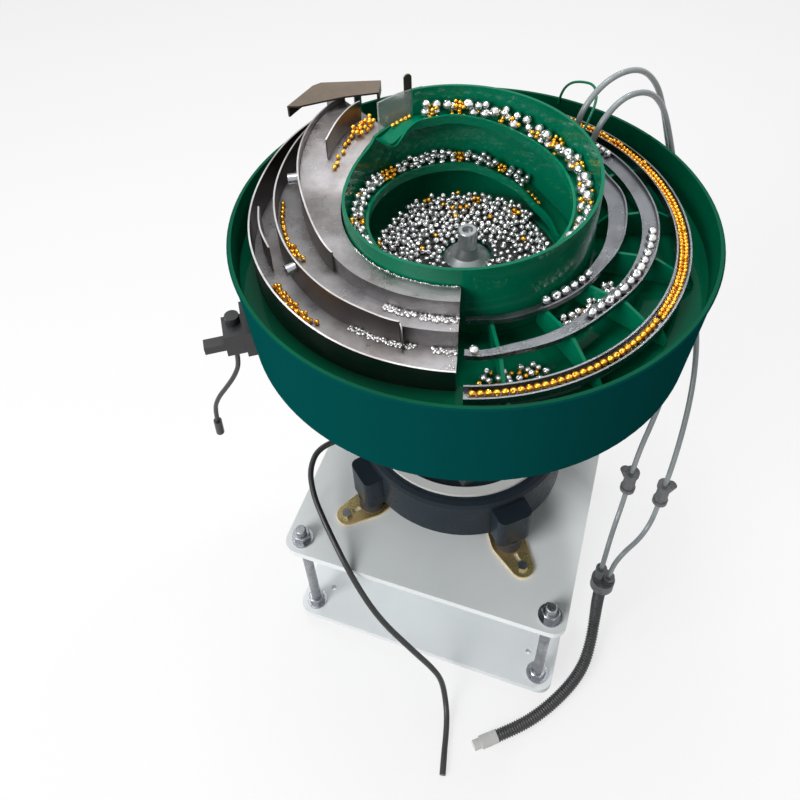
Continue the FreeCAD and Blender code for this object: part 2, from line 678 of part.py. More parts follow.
hood = Part.Face(Part.makePolygon(hood_points + hood_points[:1])).extrude(Vector(0, 0, sheet))
hood = hood.fuse([folded_end(hood_points[0], hood_points[1]), folded_end(hood_points[3], hood_points[4])])
save("tray_hood", hood.removeSplitter())
post_azimuth = 142.5
post_radius = bowl_radius + 0.69 * (pan_radius - bowl_radius)
save("hood_post", cylinder(4.0, hood_bottom - fit - pan_floor_top, polar(post_radius, post_azimuth, pan_floor_top)))


# The clear guard stands on the outside of the bowl's wall, over the outlet, with a small lug riveted to its end
def guard_section(azimuth):
    inside = bowl_radius + fit
    return [(inside, rim_height + guard_low), (inside + guard_thickness, rim_height + guard_low),
            (inside + guard_thickness, rim_height + guard_high), (inside, rim_height + guard_high)]


save("clear_guard", swept_arc(guard_section, exit_start - 6, exit_end - 5, 6))
lug_azimuth = exit_start + 1
lug_face = bowl_radius + 2 * fit + guard_thickness
lug_top = rim_height + guard_high + 12
lug = cylinder(4.0, 1.6, polar(lug_face, lug_azimuth, lug_top), polar(1, lug_azimuth))
stem = box(1.6, 8, 26, lug_face + 0.8, 0, lug_top - 26)
stem.rotate(Vector(0, 0, 0), Vector(0, 0, 1), lug_azimuth)
save("rim_lug", lug.fuse(stem).removeSplitter())


# Beads: the heap in the bowl, the rows on the tracks and rails, and the loose clusters
heap = turned([(nut_base_radius + 2, bowl_floor_top + bowl_crown + 0.4), (track_lip_radius - 4, bowl_floor_top + 3.2),
               (track_lip_radius - 4, bowl_floor_top + 12), (60, bowl_floor_top + 15), (nut_base_radius + 2, bowl_floor_top + 12)])
save("bead_heap", heap)


def track_beads(azimuth):
    low = track_height(azimuth) + bead_clearance
    return [(track_lip_radius + 4, low), (bowl_inside - 2, low), (bowl_inside - 2, low + 10), (track_lip_radius + 6, low + 7)]


save("track_beads", Part.makeCompound([swept_arc(track_beads, 66, 250), swept_arc(track_beads, 290, 494)]))


def gold_row(azimuth):
    points = outer_rail(azimuth)
    low = points[4][1] + fit
    return [(points[5][0] + 0.4, low), (points[4][0] - 0.4, low), (points[4][0] - 0.4, low + small_bead_diameter),
            (points[5][0] + 0.4, low + small_bead_diameter + 2)]


save("gold_bead_row", swept_arc(gold_row, rail_start + 1, rail_end - 3))


def ribbon_row(rail):
    """A single row of beads against the lip of a ribbon rail."""
    def section(azimuth):
        lip_foot = rail(azimuth)[4]
        low = lip_foot[1] + fit
        return [(lip_foot[0] - 8, low), (lip_foot[0] - 0.4, low), (lip_foot[0] - 0.4, low + bead_diameter),
                (lip_foot[0] - 8, low + bead_diameter)]
    return section


def floor_pile(inside, outside, depth):
    """Beads lying on the pan floor between two rails."""
    return lambda azimuth: [(inside, pan_floor_top + fit), (outside, pan_floor_top + fit),
                            (outside, pan_floor_top + depth), (inside, pan_floor_top + depth)]


save("loose_silver_beads", Part.makeCompound([
    swept_arc(ribbon_row(middle_rail), -34, 8), swept_arc(ribbon_row(middle_rail), 50, 76),
    swept_arc(ribbon_row(inner_rail), -42, -20), swept_arc(floor_pile(131, 145, 13), -42, -26, 5),
    swept_arc(floor_pile(168, 182, 8), -64, -54, 5)]))
cluster = swept_arc(lambda azimuth: [(line_radius(fence_a, azimuth) - 16, tray_levels(azimuth)[2] + fit),
                                     (line_radius(fence_a, azimuth) - 3, tray_levels(azimuth)[2] + fit),
                                     (line_radius(fence_a, azimuth) - 3, tray_levels(azimuth)[2] + 9)], 220, 238, 4.5)
save("tray_beads", cluster)

# Cords: radii, routes and fittings
hose_radius = 3.0
cable_radius = 3.5
conduit_radius = 7.5
lead_radius = 2.5
gland_radius = 9.0
gland_length = 30.0
floor_level = -stud_below

hose_a_points = [(72, 124.7, 556.3), (72, 124.7, 590), (79, 132.5, 620), (97, 153, 640), (121, 180, 638),
                 (139, 201, 612), (151, 212, 577), (162, 212, 540), (176, 201, 505), (192, 179, 472),
                 (208, 151, 444), (222, 119, 418), (233, 86, 390), (239.5, 56, 358), (241.5, 28, 318),
                 (240, 0, 268.3), (240, 0, 228)]
hose_b_points = [(90.6, 111.9, 556.3), (90.6, 111.9, 586), (97, 119.5, 612), (113, 138.5, 630), (134, 163, 624),
                 (149, 184, 598), (160, 196, 564), (171, 196, 530), (183, 182, 498), (195, 160, 468),
                 (206, 133, 440), (214, 102, 414), (217, 73, 386), (215, 47, 354), (210.5, 25, 318),
                 (202, 0, 272), (202, 0, 236)]
hose_a_low_points = [(240, 0, 192), (240, 0, 169.8), (237.2, -8.4, 149.7), (228.6, -25, 138.3), (214.5, -43.9, 133),
                     (205.5, -56, 114.1), (205.5, -56, 90)]
hose_b_low_points = [(202, 0, 200), (202, 0, 179.6), (200.3, -10.3, 162.1), (197.6, -26.7, 150.4),
                     (195.4, -44.9, 141.5), (194.5, -56, 124.4), (194.5, -56, 104)]
conduit_points = [(200, -56, 62), (200, -57.8, 32.9), (202, -73.6, 8.4), (203, -99.2, -5.6), (200.2, -127.6, -11.8),
                  (190, -155, -12.3), (175.5, -180.3, -12.3), (158.5, -204, -12.3), (138.6, -225.5, -12.3),
                  (116, -244, -12.3)]
cable_points = [(-131.6, -58.1, 235.4), (-157, -73.6, 234), (-166, -101.5, 225.6), (-152.5, -127, 214.9),
                (-132.5, -148, 205.6), (-112.5, -167.8, 195.6), (-92.3, -185.6, 181.7), (-72.4, -198.9, 163),
                (-54.4, -208.2, 141.3), (-35.7, -212.9, 118.8), (-17.5, -214.1, 95.5), (-0.2, -214.4, 71.5),
                (16.8, -213.6, 47.4), (31.6, -214.3, 21.8), (41.6, -223.6, -4.4), (55.2, -247, -16.3),
                (61, -276, -16.3)]
lead_points = [(-192.7, -134.7, 468), (-192.7, -134.7, 445.7), (-200.6, -137.4, 425.1), (-212, -140.7, 406.3),
               (-224.2, -143.8, 387.8), (-232.4, -145, 367.2), (-233.9, -144.7, 345)]

save("hose_a", tube(hose_a_points, hose_radius, "hose_a"))
save("hose_b", tube(hose_b_points, hose_radius, "hose_b"))
save("hose_a_lower", tube(hose_a_low_points, hose_radius, "hose_a_lower"))
save("hose_b_lower", tube(hose_b_low_points, hose_radius, "hose_b_lower"))
save("conduit", tube(conduit_points, conduit_radius, "conduit"))
save("power_cable", tube(cable_points, cable_radius, "power_cable"))
save("sensor_lead", tube(lead_points, lead_radius, "sensor_lead"))

# Hose fittings on the pan floor: a barrel under each hose, a hair short of it
fittings = []
for points in (hose_a_points, hose_b_points):
    x, y, z = points[0]
    fittings.append(cylinder(5.0, z - fit - pan_floor_top, Vector(x, y, pan_floor_top)))
save("hose_fittings", Part.makeCompound(fittings))


def coupling(start, end, radius, collar):
    """A fitting along a hose: a plain barrel with a wider collar at each end."""
    axis = Vector(*end) - Vector(*start)
    length = axis.Length
    axis = axis.normalize()
    body = cylinder(radius, length, Vector(*start), axis)
    for place in (0.0, length - collar):
        body = body.fuse(cylinder(radius + 1.5, collar, Vector(*start) + axis * place, axis))
    return body.removeSplitter()


def y_fitting(top, bottom, lean):
    """A branched hose fitting: one barrel along the hose, and a stub that leans out of its side."""
    body = coupling(top, bottom, 7.0, 6.0)
    middle = (Vector(*top) + Vector(*bottom)) * 0.5
    return body.fuse(cylinder(5.0, 20.0, middle, Vector(*lean))).removeSplitter()


save("y_fittings", Part.makeCompound([
    y_fitting(hose_a_points[-1], hose_a_low_points[0], (0.45, 0.15, 1.0)),
    y_fitting(hose_b_points[-1], hose_b_low_points[0], (-0.5, 0.1, 1.0))]))

# The two hoses end in couplings on one round block, and the conduit starts under it
block_height = 16.0
conduit_top = Vector(*conduit_points[0])
conduit_axis = (conduit_top - Vector(*conduit_points[1])).normalize()
block = cylinder(14.0, block_height, conduit_top, conduit_axis)
block_top = conduit_top.z + block_height - 2
for points in (hose_a_low_points, hose_b_low_points):
    x, y, z = points[-1]
    block = block.fuse(coupling((x, y, z), (x, y, block_top), 5.0, 5.0))
save("hose_couplings", block.removeSplitter())

plug_start = Vector(*conduit_points[-1])
plug_axis = (plug_start - Vector(*conduit_points[-2])).normalize()
plug = cylinder(conduit_radius, 9.0, plug_start, plug_axis).fuse([
    cylinder(conduit_radius + 0.15, 12.0, plug_start + plug_axis * 9, plug_axis),
    cylinder(6.0, 9.0, plug_start + plug_axis * 21, plug_axis)])
save("conduit_plug", plug.removeSplitter())

gland_start = Vector(*cable_points[0])
gland_axis = (Vector(*cable_points[1]) - gland_start).normalize()
gland = Part.makeCone(gland_radius, cable_radius + 1.2, gland_length, gland_start - gland_axis * gland_length, gland_axis)
save("cable_gland", gland.cut(drive_base))
cable_end = Vector(*cable_points[-1])
cable_axis = (cable_end - Vector(*cable_points[-2])).normalize()
end_plug = Part.makeCone(cable_radius, 3.7, 14, cable_end, cable_axis).fuse(
    cylinder(3.7, 14.0, cable_end + cable_axis * 14, cable_axis))
save("cable_plug", end_plug.removeSplitter())

# Sensor bracket on the pan's wall: a plate, a block and a small knob, with the lead out of its underside
bracket_azimuth = 213.0
bracket_low = pan_bottom + 1
seat = pan_radius - pan_draft - 1
bracket = box(9, 44, 32, seat + 4.5, 0, bracket_low).fuse([
    box(22, 28, 26, seat + 17, 4, bracket_low + 2), cylinder(7.0, 8.0, Vector(seat + 17, -2, bracket_low + 28)),
    box(26, 12, 9, seat + 36, 6, bracket_low + 4)])
bracket.rotate(Vector(0, 0, 0), Vector(0, 0, 1), bracket_azimuth)
save("sensor_bracket", bracket.removeSplitter().cut(outer_pan))
lead_end = Vector(*lead_points[-1])
save("lead_connector", cylinder(4.5, 22.0, lead_end, lead_end - Vector(*lead_points[-2])))
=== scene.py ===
import math
import random

import bpy
import numpy as np
from mathutils import Matrix, Vector


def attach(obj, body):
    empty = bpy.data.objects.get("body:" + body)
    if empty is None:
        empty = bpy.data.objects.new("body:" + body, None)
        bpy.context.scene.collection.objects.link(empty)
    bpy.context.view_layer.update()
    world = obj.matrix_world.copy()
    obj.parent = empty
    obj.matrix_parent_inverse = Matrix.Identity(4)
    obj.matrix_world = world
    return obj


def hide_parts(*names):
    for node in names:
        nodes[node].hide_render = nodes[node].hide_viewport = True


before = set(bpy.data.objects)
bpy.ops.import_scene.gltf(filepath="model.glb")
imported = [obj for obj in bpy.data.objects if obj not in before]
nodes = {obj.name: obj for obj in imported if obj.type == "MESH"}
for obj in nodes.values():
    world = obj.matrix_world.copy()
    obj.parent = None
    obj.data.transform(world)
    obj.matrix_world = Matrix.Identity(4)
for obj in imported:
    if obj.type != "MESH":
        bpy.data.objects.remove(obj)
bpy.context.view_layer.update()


# The stand's plates: two thick steel plates with rounded corners, sprayed pale grey.
# The paint has a fine grain and soft smudges.
def effect_group(name, inputs, outputs):
    """An empty shader node group with its sockets, ready for the nodes of one effect."""
    group = bpy.data.node_groups.new(name, "ShaderNodeTree")
    for title, kind, value in inputs:
        socket = group.interface.new_socket(title, in_out="INPUT", socket_type=kind)
        socket.default_value = value
    for title, kind in outputs:
        group.interface.new_socket(title, in_out="OUTPUT", socket_type=kind)
    entry, leave = group.nodes.new("NodeGroupInput"), group.nodes.new("NodeGroupOutput")
    return group, entry, leave


def blend_colours(tree, factor, first, second):
    """A node that mixes two colours. Each is a socket, or a plain colour."""
    mix = tree.nodes.new("ShaderNodeMix")
    mix.data_type = "RGBA"
    tree.links.new(factor, mix.inputs["Factor"])
    for socket, given in ((mix.inputs[6], first), (mix.inputs[7], second)):
        if isinstance(given, bpy.types.NodeSocket):
            tree.links.new(given, socket)
        else:
            socket.default_value = (*given, 1)
    return mix.outputs[2]


def stretch_range(tree, value, low, high, from_low=0.3, from_high=0.7):
    """A node that spreads a mask between two values. Each number may be a socket, or plain."""
    spread = tree.nodes.new("ShaderNodeMapRange")
    tree.links.new(value, spread.inputs["Value"])
    for title, given in (("From Min", from_low), ("From Max", from_high), ("To Min", low), ("To Max", high)):
        if isinstance(given, bpy.types.NodeSocket):
            tree.links.new(given, spread.inputs[title])
        else:
            spread.inputs[title].default_value = given
    return spread.outputs[0]


def noise_mask(tree, place, scale, detail=3.0, roughness=0.55):
    """A soft cloudy mask over the surface."""
    noise = tree.nodes.new("ShaderNodeTexNoise")
    tree.links.new(place, noise.inputs["Vector"])
    if isinstance(scale, bpy.types.NodeSocket):
        tree.links.new(scale, noise.inputs["Scale"])
    else:
        noise.inputs["Scale"].default_value = scale
    noise.inputs["Detail"].default_value = detail
    noise.inputs["Roughness"].default_value = roughness
    return noise.outputs["Fac"]


mottle, entry, leave = effect_group(
    "mottle",
    [("Colour A", "NodeSocketColor", (0.5, 0.5, 0.5, 1)), ("Colour B", "NodeSocketColor", (0.4, 0.4, 0.4, 1)),
     ("Patches", "NodeSocketFloat", 12.0), ("Grain", "NodeSocketFloat", 900.0),
     ("Rough A", "NodeSocketFloat", 0.3), ("Rough B", "NodeSocketFloat", 0.5)],
    [("Colour", "NodeSocketColor"), ("Rough", "NodeSocketFloat"), ("Height", "NodeSocketFloat")])
place = mottle.nodes.new("ShaderNodeTexCoord").outputs["Object"]
patches = noise_mask(mottle, place, entry.outputs["Patches"], 4.0)
grain = noise_mask(mottle, place, entry.outputs["Grain"], 2.0)
wide = stretch_range(mottle, patches, 0.0, 1.0)
tone = blend_colours(mottle, wide, entry.outputs["Colour A"], entry.outputs["Colour B"])
mottle.links.new(tone, leave.inputs["Colour"])
mottle.links.new(
    stretch_range(mottle, patches, entry.outputs["Rough A"], entry.outputs["Rough B"], 0.35, 0.65),
    leave.inputs["Rough"])
mottle.links.new(grain, leave.inputs["Height"])


def finish(name, metallic=0.0, roughness=0.4, coat=0.0, specular=0.5):
    """A new material whose shader has its plain values set."""
    material = bpy.data.materials.new(name)
    material.use_nodes = True
    shader = material.node_tree.nodes["Principled BSDF"]
    shader.inputs["Metallic"].default_value = metallic
    shader.inputs["Roughness"].default_value = roughness
    shader.inputs["Coat Weight"].default_value = coat
    shader.inputs["Coat Roughness"].default_value = 0.06
    shader.inputs["Specular IOR Level"].default_value = specular
    return material, shader


def place_effect(material, shader, group, values, bump, height=0.0002):
    """Puts an effect into a material: its colour, its roughness and its bump."""
    tree = material.node_tree
    effect = tree.nodes.new("ShaderNodeGroup")
    effect.node_tree = group
    for title, value in values.items():
        effect.inputs[title].default_value = (*value, 1) if isinstance(value, tuple) else value
    tree.links.new(effect.outputs["Colour"], shader.inputs["Base Color"])
    tree.links.new(effect.outputs["Rough"], shader.inputs["Roughness"])
    relief = tree.nodes.new("ShaderNodeBump")
    relief.inputs["Strength"].default_value = bump
    relief.inputs["Distance"].default_value = height
    tree.links.new(effect.outputs["Height"], relief.inputs["Height"])
    tree.links.new(relief.outputs["Normal"], shader.inputs["Normal"])
    return effect


def mottled(name, colour, darker, patches, grain, rough, metallic=0.0, coat=0.0, bump=0.25, height=0.0002,
            specular=0.5):
    """A finish in two close tones with a fine grain."""
    material, shader = finish(name, metallic, rough[0], coat, specular)
    place_effect(material, shader, mottle,
                 {"Colour A": colour, "Colour B": darker, "Patches": patches, "Grain": grain,
                  "Rough A": rough[0], "Rough B": rough[1]}, bump, height)
    return material


def dress(material, *names):
    """Gives CAD nodes their material."""
    for name in names:
        node = nodes[name]
        node.data.materials.clear()
        node.data.materials.append(material)


plate_paint = mottled("plate_paint", (0.88, 0.92, 0.93), (0.80, 0.84, 0.85), 9.0, 700.0, (0.28, 0.42),
                      bump=0.12)
dress(plate_paint, "lower_plate", "upper_plate")

# The stand's studs, nuts and washers: zinc-plated M12 hardware, and the small bolts of the mounts.
# The studs are threaded rods, which shows as fine turns on the metal.
zinc = mottled("zinc", (0.46, 0.47, 0.49), (0.26, 0.27, 0.30), 60.0, 1500.0, (0.18, 0.36), metallic=1.0,
               bump=0.15)
dress(zinc, "stud_nuts", "stud_washers", "flange_screws", "hose_fittings", "lower_clamp_bolts",
      "upper_clamp_bolts", "fence_screws", "hood_post", "centre_bolt")

thread_pitch = 0.00175
threaded, entry, leave = effect_group(
    "threaded", [("Pitch", "NodeSocketFloat", thread_pitch)], [("Height", "NodeSocketFloat")])
spot = threaded.nodes.new("ShaderNodeSeparateXYZ")
threaded.links.new(threaded.nodes.new("ShaderNodeTexCoord").outputs["Object"], spot.inputs[0])
turns = threaded.nodes.new("ShaderNodeMath")
turns.operation = "DIVIDE"
threaded.links.new(spot.outputs["Z"], turns.inputs[0])
threaded.links.new(entry.outputs["Pitch"], turns.inputs[1])
tooth = threaded.nodes.new("ShaderNodeMath")
tooth.operation = "PINGPONG"
tooth.inputs[1].default_value = 0.5
threaded.links.new(turns.outputs[0], tooth.inputs[0])
threaded.links.new(tooth.outputs[0], leave.inputs["Height"])
stud_zinc, shader = finish("stud_zinc", 1.0, 0.3)
place_effect(stud_zinc, shader, mottle, {"Colour A": (0.42, 0.43, 0.45), "Colour B": (0.22, 0.23, 0.25),
                                         "Patches": 50.0, "Grain": 1200.0, "Rough A": 0.24, "Rough B": 0.4},
             bump=0.8, height=0.0009)
tree = stud_zinc.node_tree
thread = tree.nodes.new("ShaderNodeGroup")
thread.node_tree = threaded
thread.inputs["Pitch"].default_value = thread_pitch
relief = shader.inputs["Normal"].links[0].from_node
tree.links.new(thread.outputs["Height"], relief.inputs["Height"])
dress(stud_zinc, "corner_studs")

# The rubber mounts: oval steel flanges in yellow passivated zinc, which is a little uneven in tone.
# Black rubber buffers are bonded to them, and carry the drum's lugs.
yellow_zinc = mottled("yellow_zinc", (0.80, 0.66, 0.30), (0.66, 0.44, 0.22), 60.0, 1200.0, (0.22, 0.36),
                      metallic=0.9)
dress(yellow_zinc, "mount_flanges")
rubber = mottled("rubber", (0.022, 0.022, 0.024), (0.035, 0.035, 0.037), 40.0, 900.0, (0.55, 0.75), bump=0.3)
dress(rubber, "rubber_mounts")

# The drive base: a heavy iron drum with four lugs, cast and then painted thick in dark slate.
# A white plastic ring lies on its deck, under the springs.
drum_paint = mottled("drum_paint", (0.022, 0.032, 0.042), (0.014, 0.021, 0.028), 14.0, 260.0, (0.24, 0.38),
                     bump=0.18, height=0.0006, specular=0.1)
dress(drum_paint, "drive_base")
ring_plastic = mottled("ring_plastic", (0.80, 0.81, 0.79), (0.70, 0.70, 0.68), 25.0, 500.0, (0.35, 0.5))
dress(ring_plastic, "seal_ring")

# The magnet and the springs: a laminated core with a varnished coil pulls the armature above it.
# Packs of blued spring leaves lean between machined clamps on the drum and under the cast frame.
lamination = mottled("lamination", (0.20, 0.20, 0.21), (0.12, 0.12, 0.13), 80.0, 600.0, (0.35, 0.5),
                     metallic=0.9)
dress(lamination, "magnet_core", "armature")
varnish = mottled("varnish", (0.35, 0.12, 0.04), (0.22, 0.07, 0.025), 70.0, 800.0, (0.25, 0.4), coat=0.3)
dress(varnish, "magnet_coil")
spring_steel = mottled("spring_steel", (0.30, 0.31, 0.34), (0.20, 0.21, 0.24), 30.0, 900.0, (0.25, 0.4),
                       metallic=1.0)
dress(spring_steel, "leaf_springs", "armature_stem")
clamp_iron = mottled("clamp_iron", (0.16, 0.17, 0.18), (0.10, 0.105, 0.11), 35.0, 500.0, (0.4, 0.6),
                     metallic=0.7)
dress(clamp_iron, "lower_spring_clamps", "upper_spring_clamps")
cast_frame = mottled("cast_frame", (0.42, 0.43, 0.44), (0.32, 0.33, 0.34), 22.0, 350.0, (0.4, 0.55),
                     metallic=0.9, bump=0.35)
dress(cast_frame, "top_frame")

# The pan and the bowl: rolled and welded steel under a nylon coat, glossy and slightly rippled from dipping.
# The coat is emerald inside, and the pan's outside has a second, bluer coat. The pan's ribs carry the rails.
# The effect tells the faces that look away from the axis, and those that stand upright.
facing, entry, leave = effect_group(
    "facing",
    [("Outward Start", "NodeSocketFloat", 0.4), ("Outward Full", "NodeSocketFloat", 0.6),
     ("Upright Full", "NodeSocketFloat", 0.3), ("Upright End", "NodeSocketFloat", 0.7)],
    [("Outward", "NodeSocketFloat"), ("Upright", "NodeSocketFloat")])
surface = facing.nodes.new("ShaderNodeNewGeometry")
spot = facing.nodes.new("ShaderNodeSeparateXYZ")
facing.links.new(facing.nodes.new("ShaderNodeTexCoord").outputs["Object"], spot.inputs[0])
flat = facing.nodes.new("ShaderNodeCombineXYZ")
facing.links.new(spot.outputs["X"], flat.inputs["X"])
facing.links.new(spot.outputs["Y"], flat.inputs["Y"])
heading = facing.nodes.new("ShaderNodeVectorMath")
heading.operation = "NORMALIZE"
facing.links.new(flat.outputs[0], heading.inputs[0])
outward = facing.nodes.new("ShaderNodeVectorMath")
outward.operation = "DOT_PRODUCT"
facing.links.new(heading.outputs[0], outward.inputs[0])
facing.links.new(surface.outputs["True Normal"], outward.inputs[1])
facing.links.new(stretch_range(facing, outward.outputs["Value"], 0.0, 1.0, entry.outputs["Outward Start"],
                               entry.outputs["Outward Full"]), leave.inputs["Outward"])
slant = facing.nodes.new("ShaderNodeSeparateXYZ")
facing.links.new(surface.outputs["True Normal"], slant.inputs[0])
steep = facing.nodes.new("ShaderNodeMath")
steep.operation = "ABSOLUTE"
facing.links.new(slant.outputs["Z"], steep.inputs[0])
facing.links.new(stretch_range(facing, steep.outputs[0], 1.0, 0.0, entry.outputs["Upright Full"],
                               entry.outputs["Upright End"]), leave.inputs["Upright"])


def coated(name, colour, darker, coat, bump, specular, outside=None):
    """The glossy nylon coat. Faces that look outward may have a colour of their own, and then less gloss."""
    material = mottled(name, colour, darker, 8.0, 130.0, (0.20, 0.34), coat=coat, bump=bump, height=0.0012,
                       specular=specular)
    if outside:
        tree = material.node_tree
        shader = tree.nodes["Principled BSDF"]
        turned = tree.nodes.new("ShaderNodeGroup")
        turned.node_tree = facing
        inside = shader.inputs["Base Color"].links[0].from_socket
        outward = turned.outputs["Outward"]
        tree.links.new(blend_colours(tree, outward, inside, outside), shader.inputs["Base Color"])
        tree.links.new(stretch_range(tree, outward, coat, 0.0, 0.0, 1.0), shader.inputs["Coat Weight"])
    return material


pan_coat = coated("pan_coat", (0.0, 0.100, 0.048), (0.0, 0.066, 0.032), 0.2, 0.3, 0.0, (0.001, 0.062, 0.060))
dress(pan_coat, "outer_pan")
bowl_coat = coated("bowl_coat", (0.0, 0.195, 0.098), (0.0, 0.135, 0.068), 0.3, 0.3, 0.06)
dress(bowl_coat, "inner_bowl", "spiral_track", "floor_ribs")

# The steel tray, fences and rails: thin stainless sheet, cut, bent and welded by hand.
# It is ground along its curve, and scuffed and stained by parts and by welding.
ground, entry, leave = effect_group(
    "ground_round_the_bowl",
    [("Colour A", "NodeSocketColor", (0.6, 0.6, 0.6, 1)), ("Colour B", "NodeSocketColor", (0.4, 0.4, 0.4, 1)),
     ("Stain", "NodeSocketColor", (0.3, 0.2, 0.15, 1)), ("Lines", "NodeSocketFloat", 900.0),
     ("Rough A", "NodeSocketFloat", 0.2), ("Rough B", "NodeSocketFloat", 0.45)],
    [("Colour", "NodeSocketColor"), ("Rough", "NodeSocketFloat"), ("Height", "NodeSocketFloat")])
spot = ground.nodes.new("ShaderNodeSeparateXYZ")
place = ground.nodes.new("ShaderNodeTexCoord").outputs["Object"]
ground.links.new(place, spot.inputs[0])
flat = ground.nodes.new("ShaderNodeCombineXYZ")
ground.links.new(spot.outputs["X"], flat.inputs["X"])
ground.links.new(spot.outputs["Y"], flat.inputs["Y"])
reach = ground.nodes.new("ShaderNodeVectorMath")
reach.operation = "LENGTH"
ground.links.new(flat.outputs[0], reach.inputs[0])
heading = ground.nodes.new("ShaderNodeVectorMath")
heading.operation = "NORMALIZE"
ground.links.new(flat.outputs[0], heading.inputs[0])
slow = ground.nodes.new("ShaderNodeVectorMath")
slow.operation = "SCALE"
slow.inputs["Scale"].default_value = 0.02
ground.links.new(heading.outputs[0], slow.inputs[0])
lift = ground.nodes.new("ShaderNodeCombineXYZ")
ground.links.new(spot.outputs["Z"], lift.inputs["Z"])
along = ground.nodes.new("ShaderNodeVectorMath")
along.operation = "ADD"
ground.links.new(slow.outputs[0], along.inputs[0])
ground.links.new(lift.outputs[0], along.inputs[1])
lines = ground.nodes.new("ShaderNodeTexNoise")
lines.noise_dimensions = "4D"
ground.links.new(along.outputs[0], lines.inputs["Vector"])
across = ground.nodes.new("ShaderNodeMath")
across.operation = "MULTIPLY"
ground.links.new(reach.outputs["Value"], across.inputs[0])
ground.links.new(entry.outputs["Lines"], across.inputs[1])
ground.links.new(entry.outputs["Lines"], lines.inputs["Scale"])
ground.links.new(across.outputs[0], lines.inputs["W"])
lines.inputs["Detail"].default_value = 4.0
patches = noise_mask(ground, place, 26.0, 5.0)
stains = noise_mask(ground, place, 11.0, 6.0, 0.65)
streak = stretch_range(ground, lines.outputs["Fac"], 0.0, 1.0, 0.42, 0.6)
bright = blend_colours(ground, streak, entry.outputs["Colour A"], entry.outputs["Colour B"])
tinted = blend_colours(ground, stretch_range(ground, stains, 0.0, 0.8, 0.5, 0.7), bright,
                       entry.outputs["Stain"])
ground.links.new(tinted, leave.inputs["Colour"])
ground.links.new(
    stretch_range(ground, patches, entry.outputs["Rough A"], entry.outputs["Rough B"], 0.35, 0.65),
    leave.inputs["Rough"])
ground.links.new(lines.outputs["Fac"], leave.inputs["Height"])


def ground_steel(name, colour, darker, stain, rough, lines=700.0, bump=0.25, upright=None, metallic=1.0):
    """Sheet steel with grinding marks that run round the bowl. Its upright faces may take a darker colour of
    their own, which is painted shade.
    """
    material, shader = finish(name, metallic, rough[0])
    effect = place_effect(material, shader, ground,
                          {"Colour A": colour, "Colour B": darker, "Stain": stain, "Lines": lines,
                           "Rough A": rough[0], "Rough B": rough[1]}, bump)
    if upright:
        tree = material.node_tree
        turned = tree.nodes.new("ShaderNodeGroup")
        turned.node_tree = facing
        tree.links.new(blend_colours(tree, turned.outputs["Upright"], effect.outputs["Colour"], upright),
                       shader.inputs["Base Color"])
    return material


tray_steel = ground_steel("tray_steel", (0.40, 0.39, 0.40), (0.19, 0.185, 0.19), (0.13, 0.105, 0.095),
                          (0.2, 0.5), bump=0.5)
dress(tray_steel, "steel_tray")
# Its upright faces take a near-black colour, which is painted shade on the fences' walls.
fence_steel = ground_steel("fence_steel", (0.60, 0.59, 0.60), (0.42, 0.41, 0.41), (0.26, 0.21, 0.19),
                           (0.28, 0.46), upright=(0.14, 0.13, 0.125))
dress(fence_steel, "outer_fence", "middle_fence", "inner_fence", "deflectors")
rail_steel = ground_steel("rail_steel", (0.26, 0.27, 0.29), (0.10, 0.105, 0.115), (0.07, 0.068, 0.065),
                          (0.2, 0.42), bump=0.4)
dress(rail_steel, "outer_rail", "middle_rail", "inner_rail")

# The cone nut: a turned steel cone that clamps the bowl on the bolt in its middle, with a satin finish.
# The bolt itself is zinc-plated, like the stand's hardware.
nut_steel = mottled("nut_steel", (0.46, 0.48, 0.49), (0.34, 0.36, 0.37), 40.0, 600.0, (0.34, 0.42),
                    metallic=0.85, bump=0.05)
dress(nut_steel, "cone_nut")

# The hood over the head of the tray: folded sheet in dull brownish steel, like the lug on the bowl's rim.
# Beside it stands the guard, a bent plate of clear acrylic that is scratched a little.
# Its upright faces, such as the hood's folded-down edge, take a near-black colour, which is painted shade.
hood_steel = ground_steel("hood_steel", (0.175, 0.138, 0.104), (0.145, 0.112, 0.083), (0.105, 0.08, 0.06),
                          (0.45, 0.6), lines=400.0, upright=(0.03, 0.024, 0.02), metallic=0.45)
dress(hood_steel, "tray_hood", "rim_lug")
acrylic, shader = finish("acrylic", 0.0, 0.08)
shader.inputs["Transmission Weight"].default_value = 0.8
shader.inputs["IOR"].default_value = 1.46
tree = acrylic.node_tree
haze = noise_mask(tree, tree.nodes.new("ShaderNodeTexCoord").outputs["Object"], 60.0, 5.0)
tree.links.new(stretch_range(tree, haze, 0.04, 0.3), shader.inputs["Roughness"])
tree.links.new(blend_colours(tree, haze, (0.86, 0.90, 0.89), (0.72, 0.78, 0.77)), shader.inputs["Base Color"])
dress(acrylic, "clear_guard")

# The beads: small polished steel and brass balls with a hole through each, which are what the feeder sorts.
# They lie in a heap on the bowl's floor, in rows on the track and rails, and in loose clusters on the tray.
silver_bead = mottled("silver_bead", (0.86, 0.86, 0.87), (0.56, 0.56, 0.57), 90.0, 1500.0, (0.17, 0.30),
                      metallic=0.92, bump=0.05)
gold_bead = mottled("gold_bead", (1.0, 0.58, 0.07), (0.88, 0.36, 0.02), 90.0, 1500.0, (0.14, 0.28),
                    metallic=0.8, bump=0.05)
hole_share = 0.27


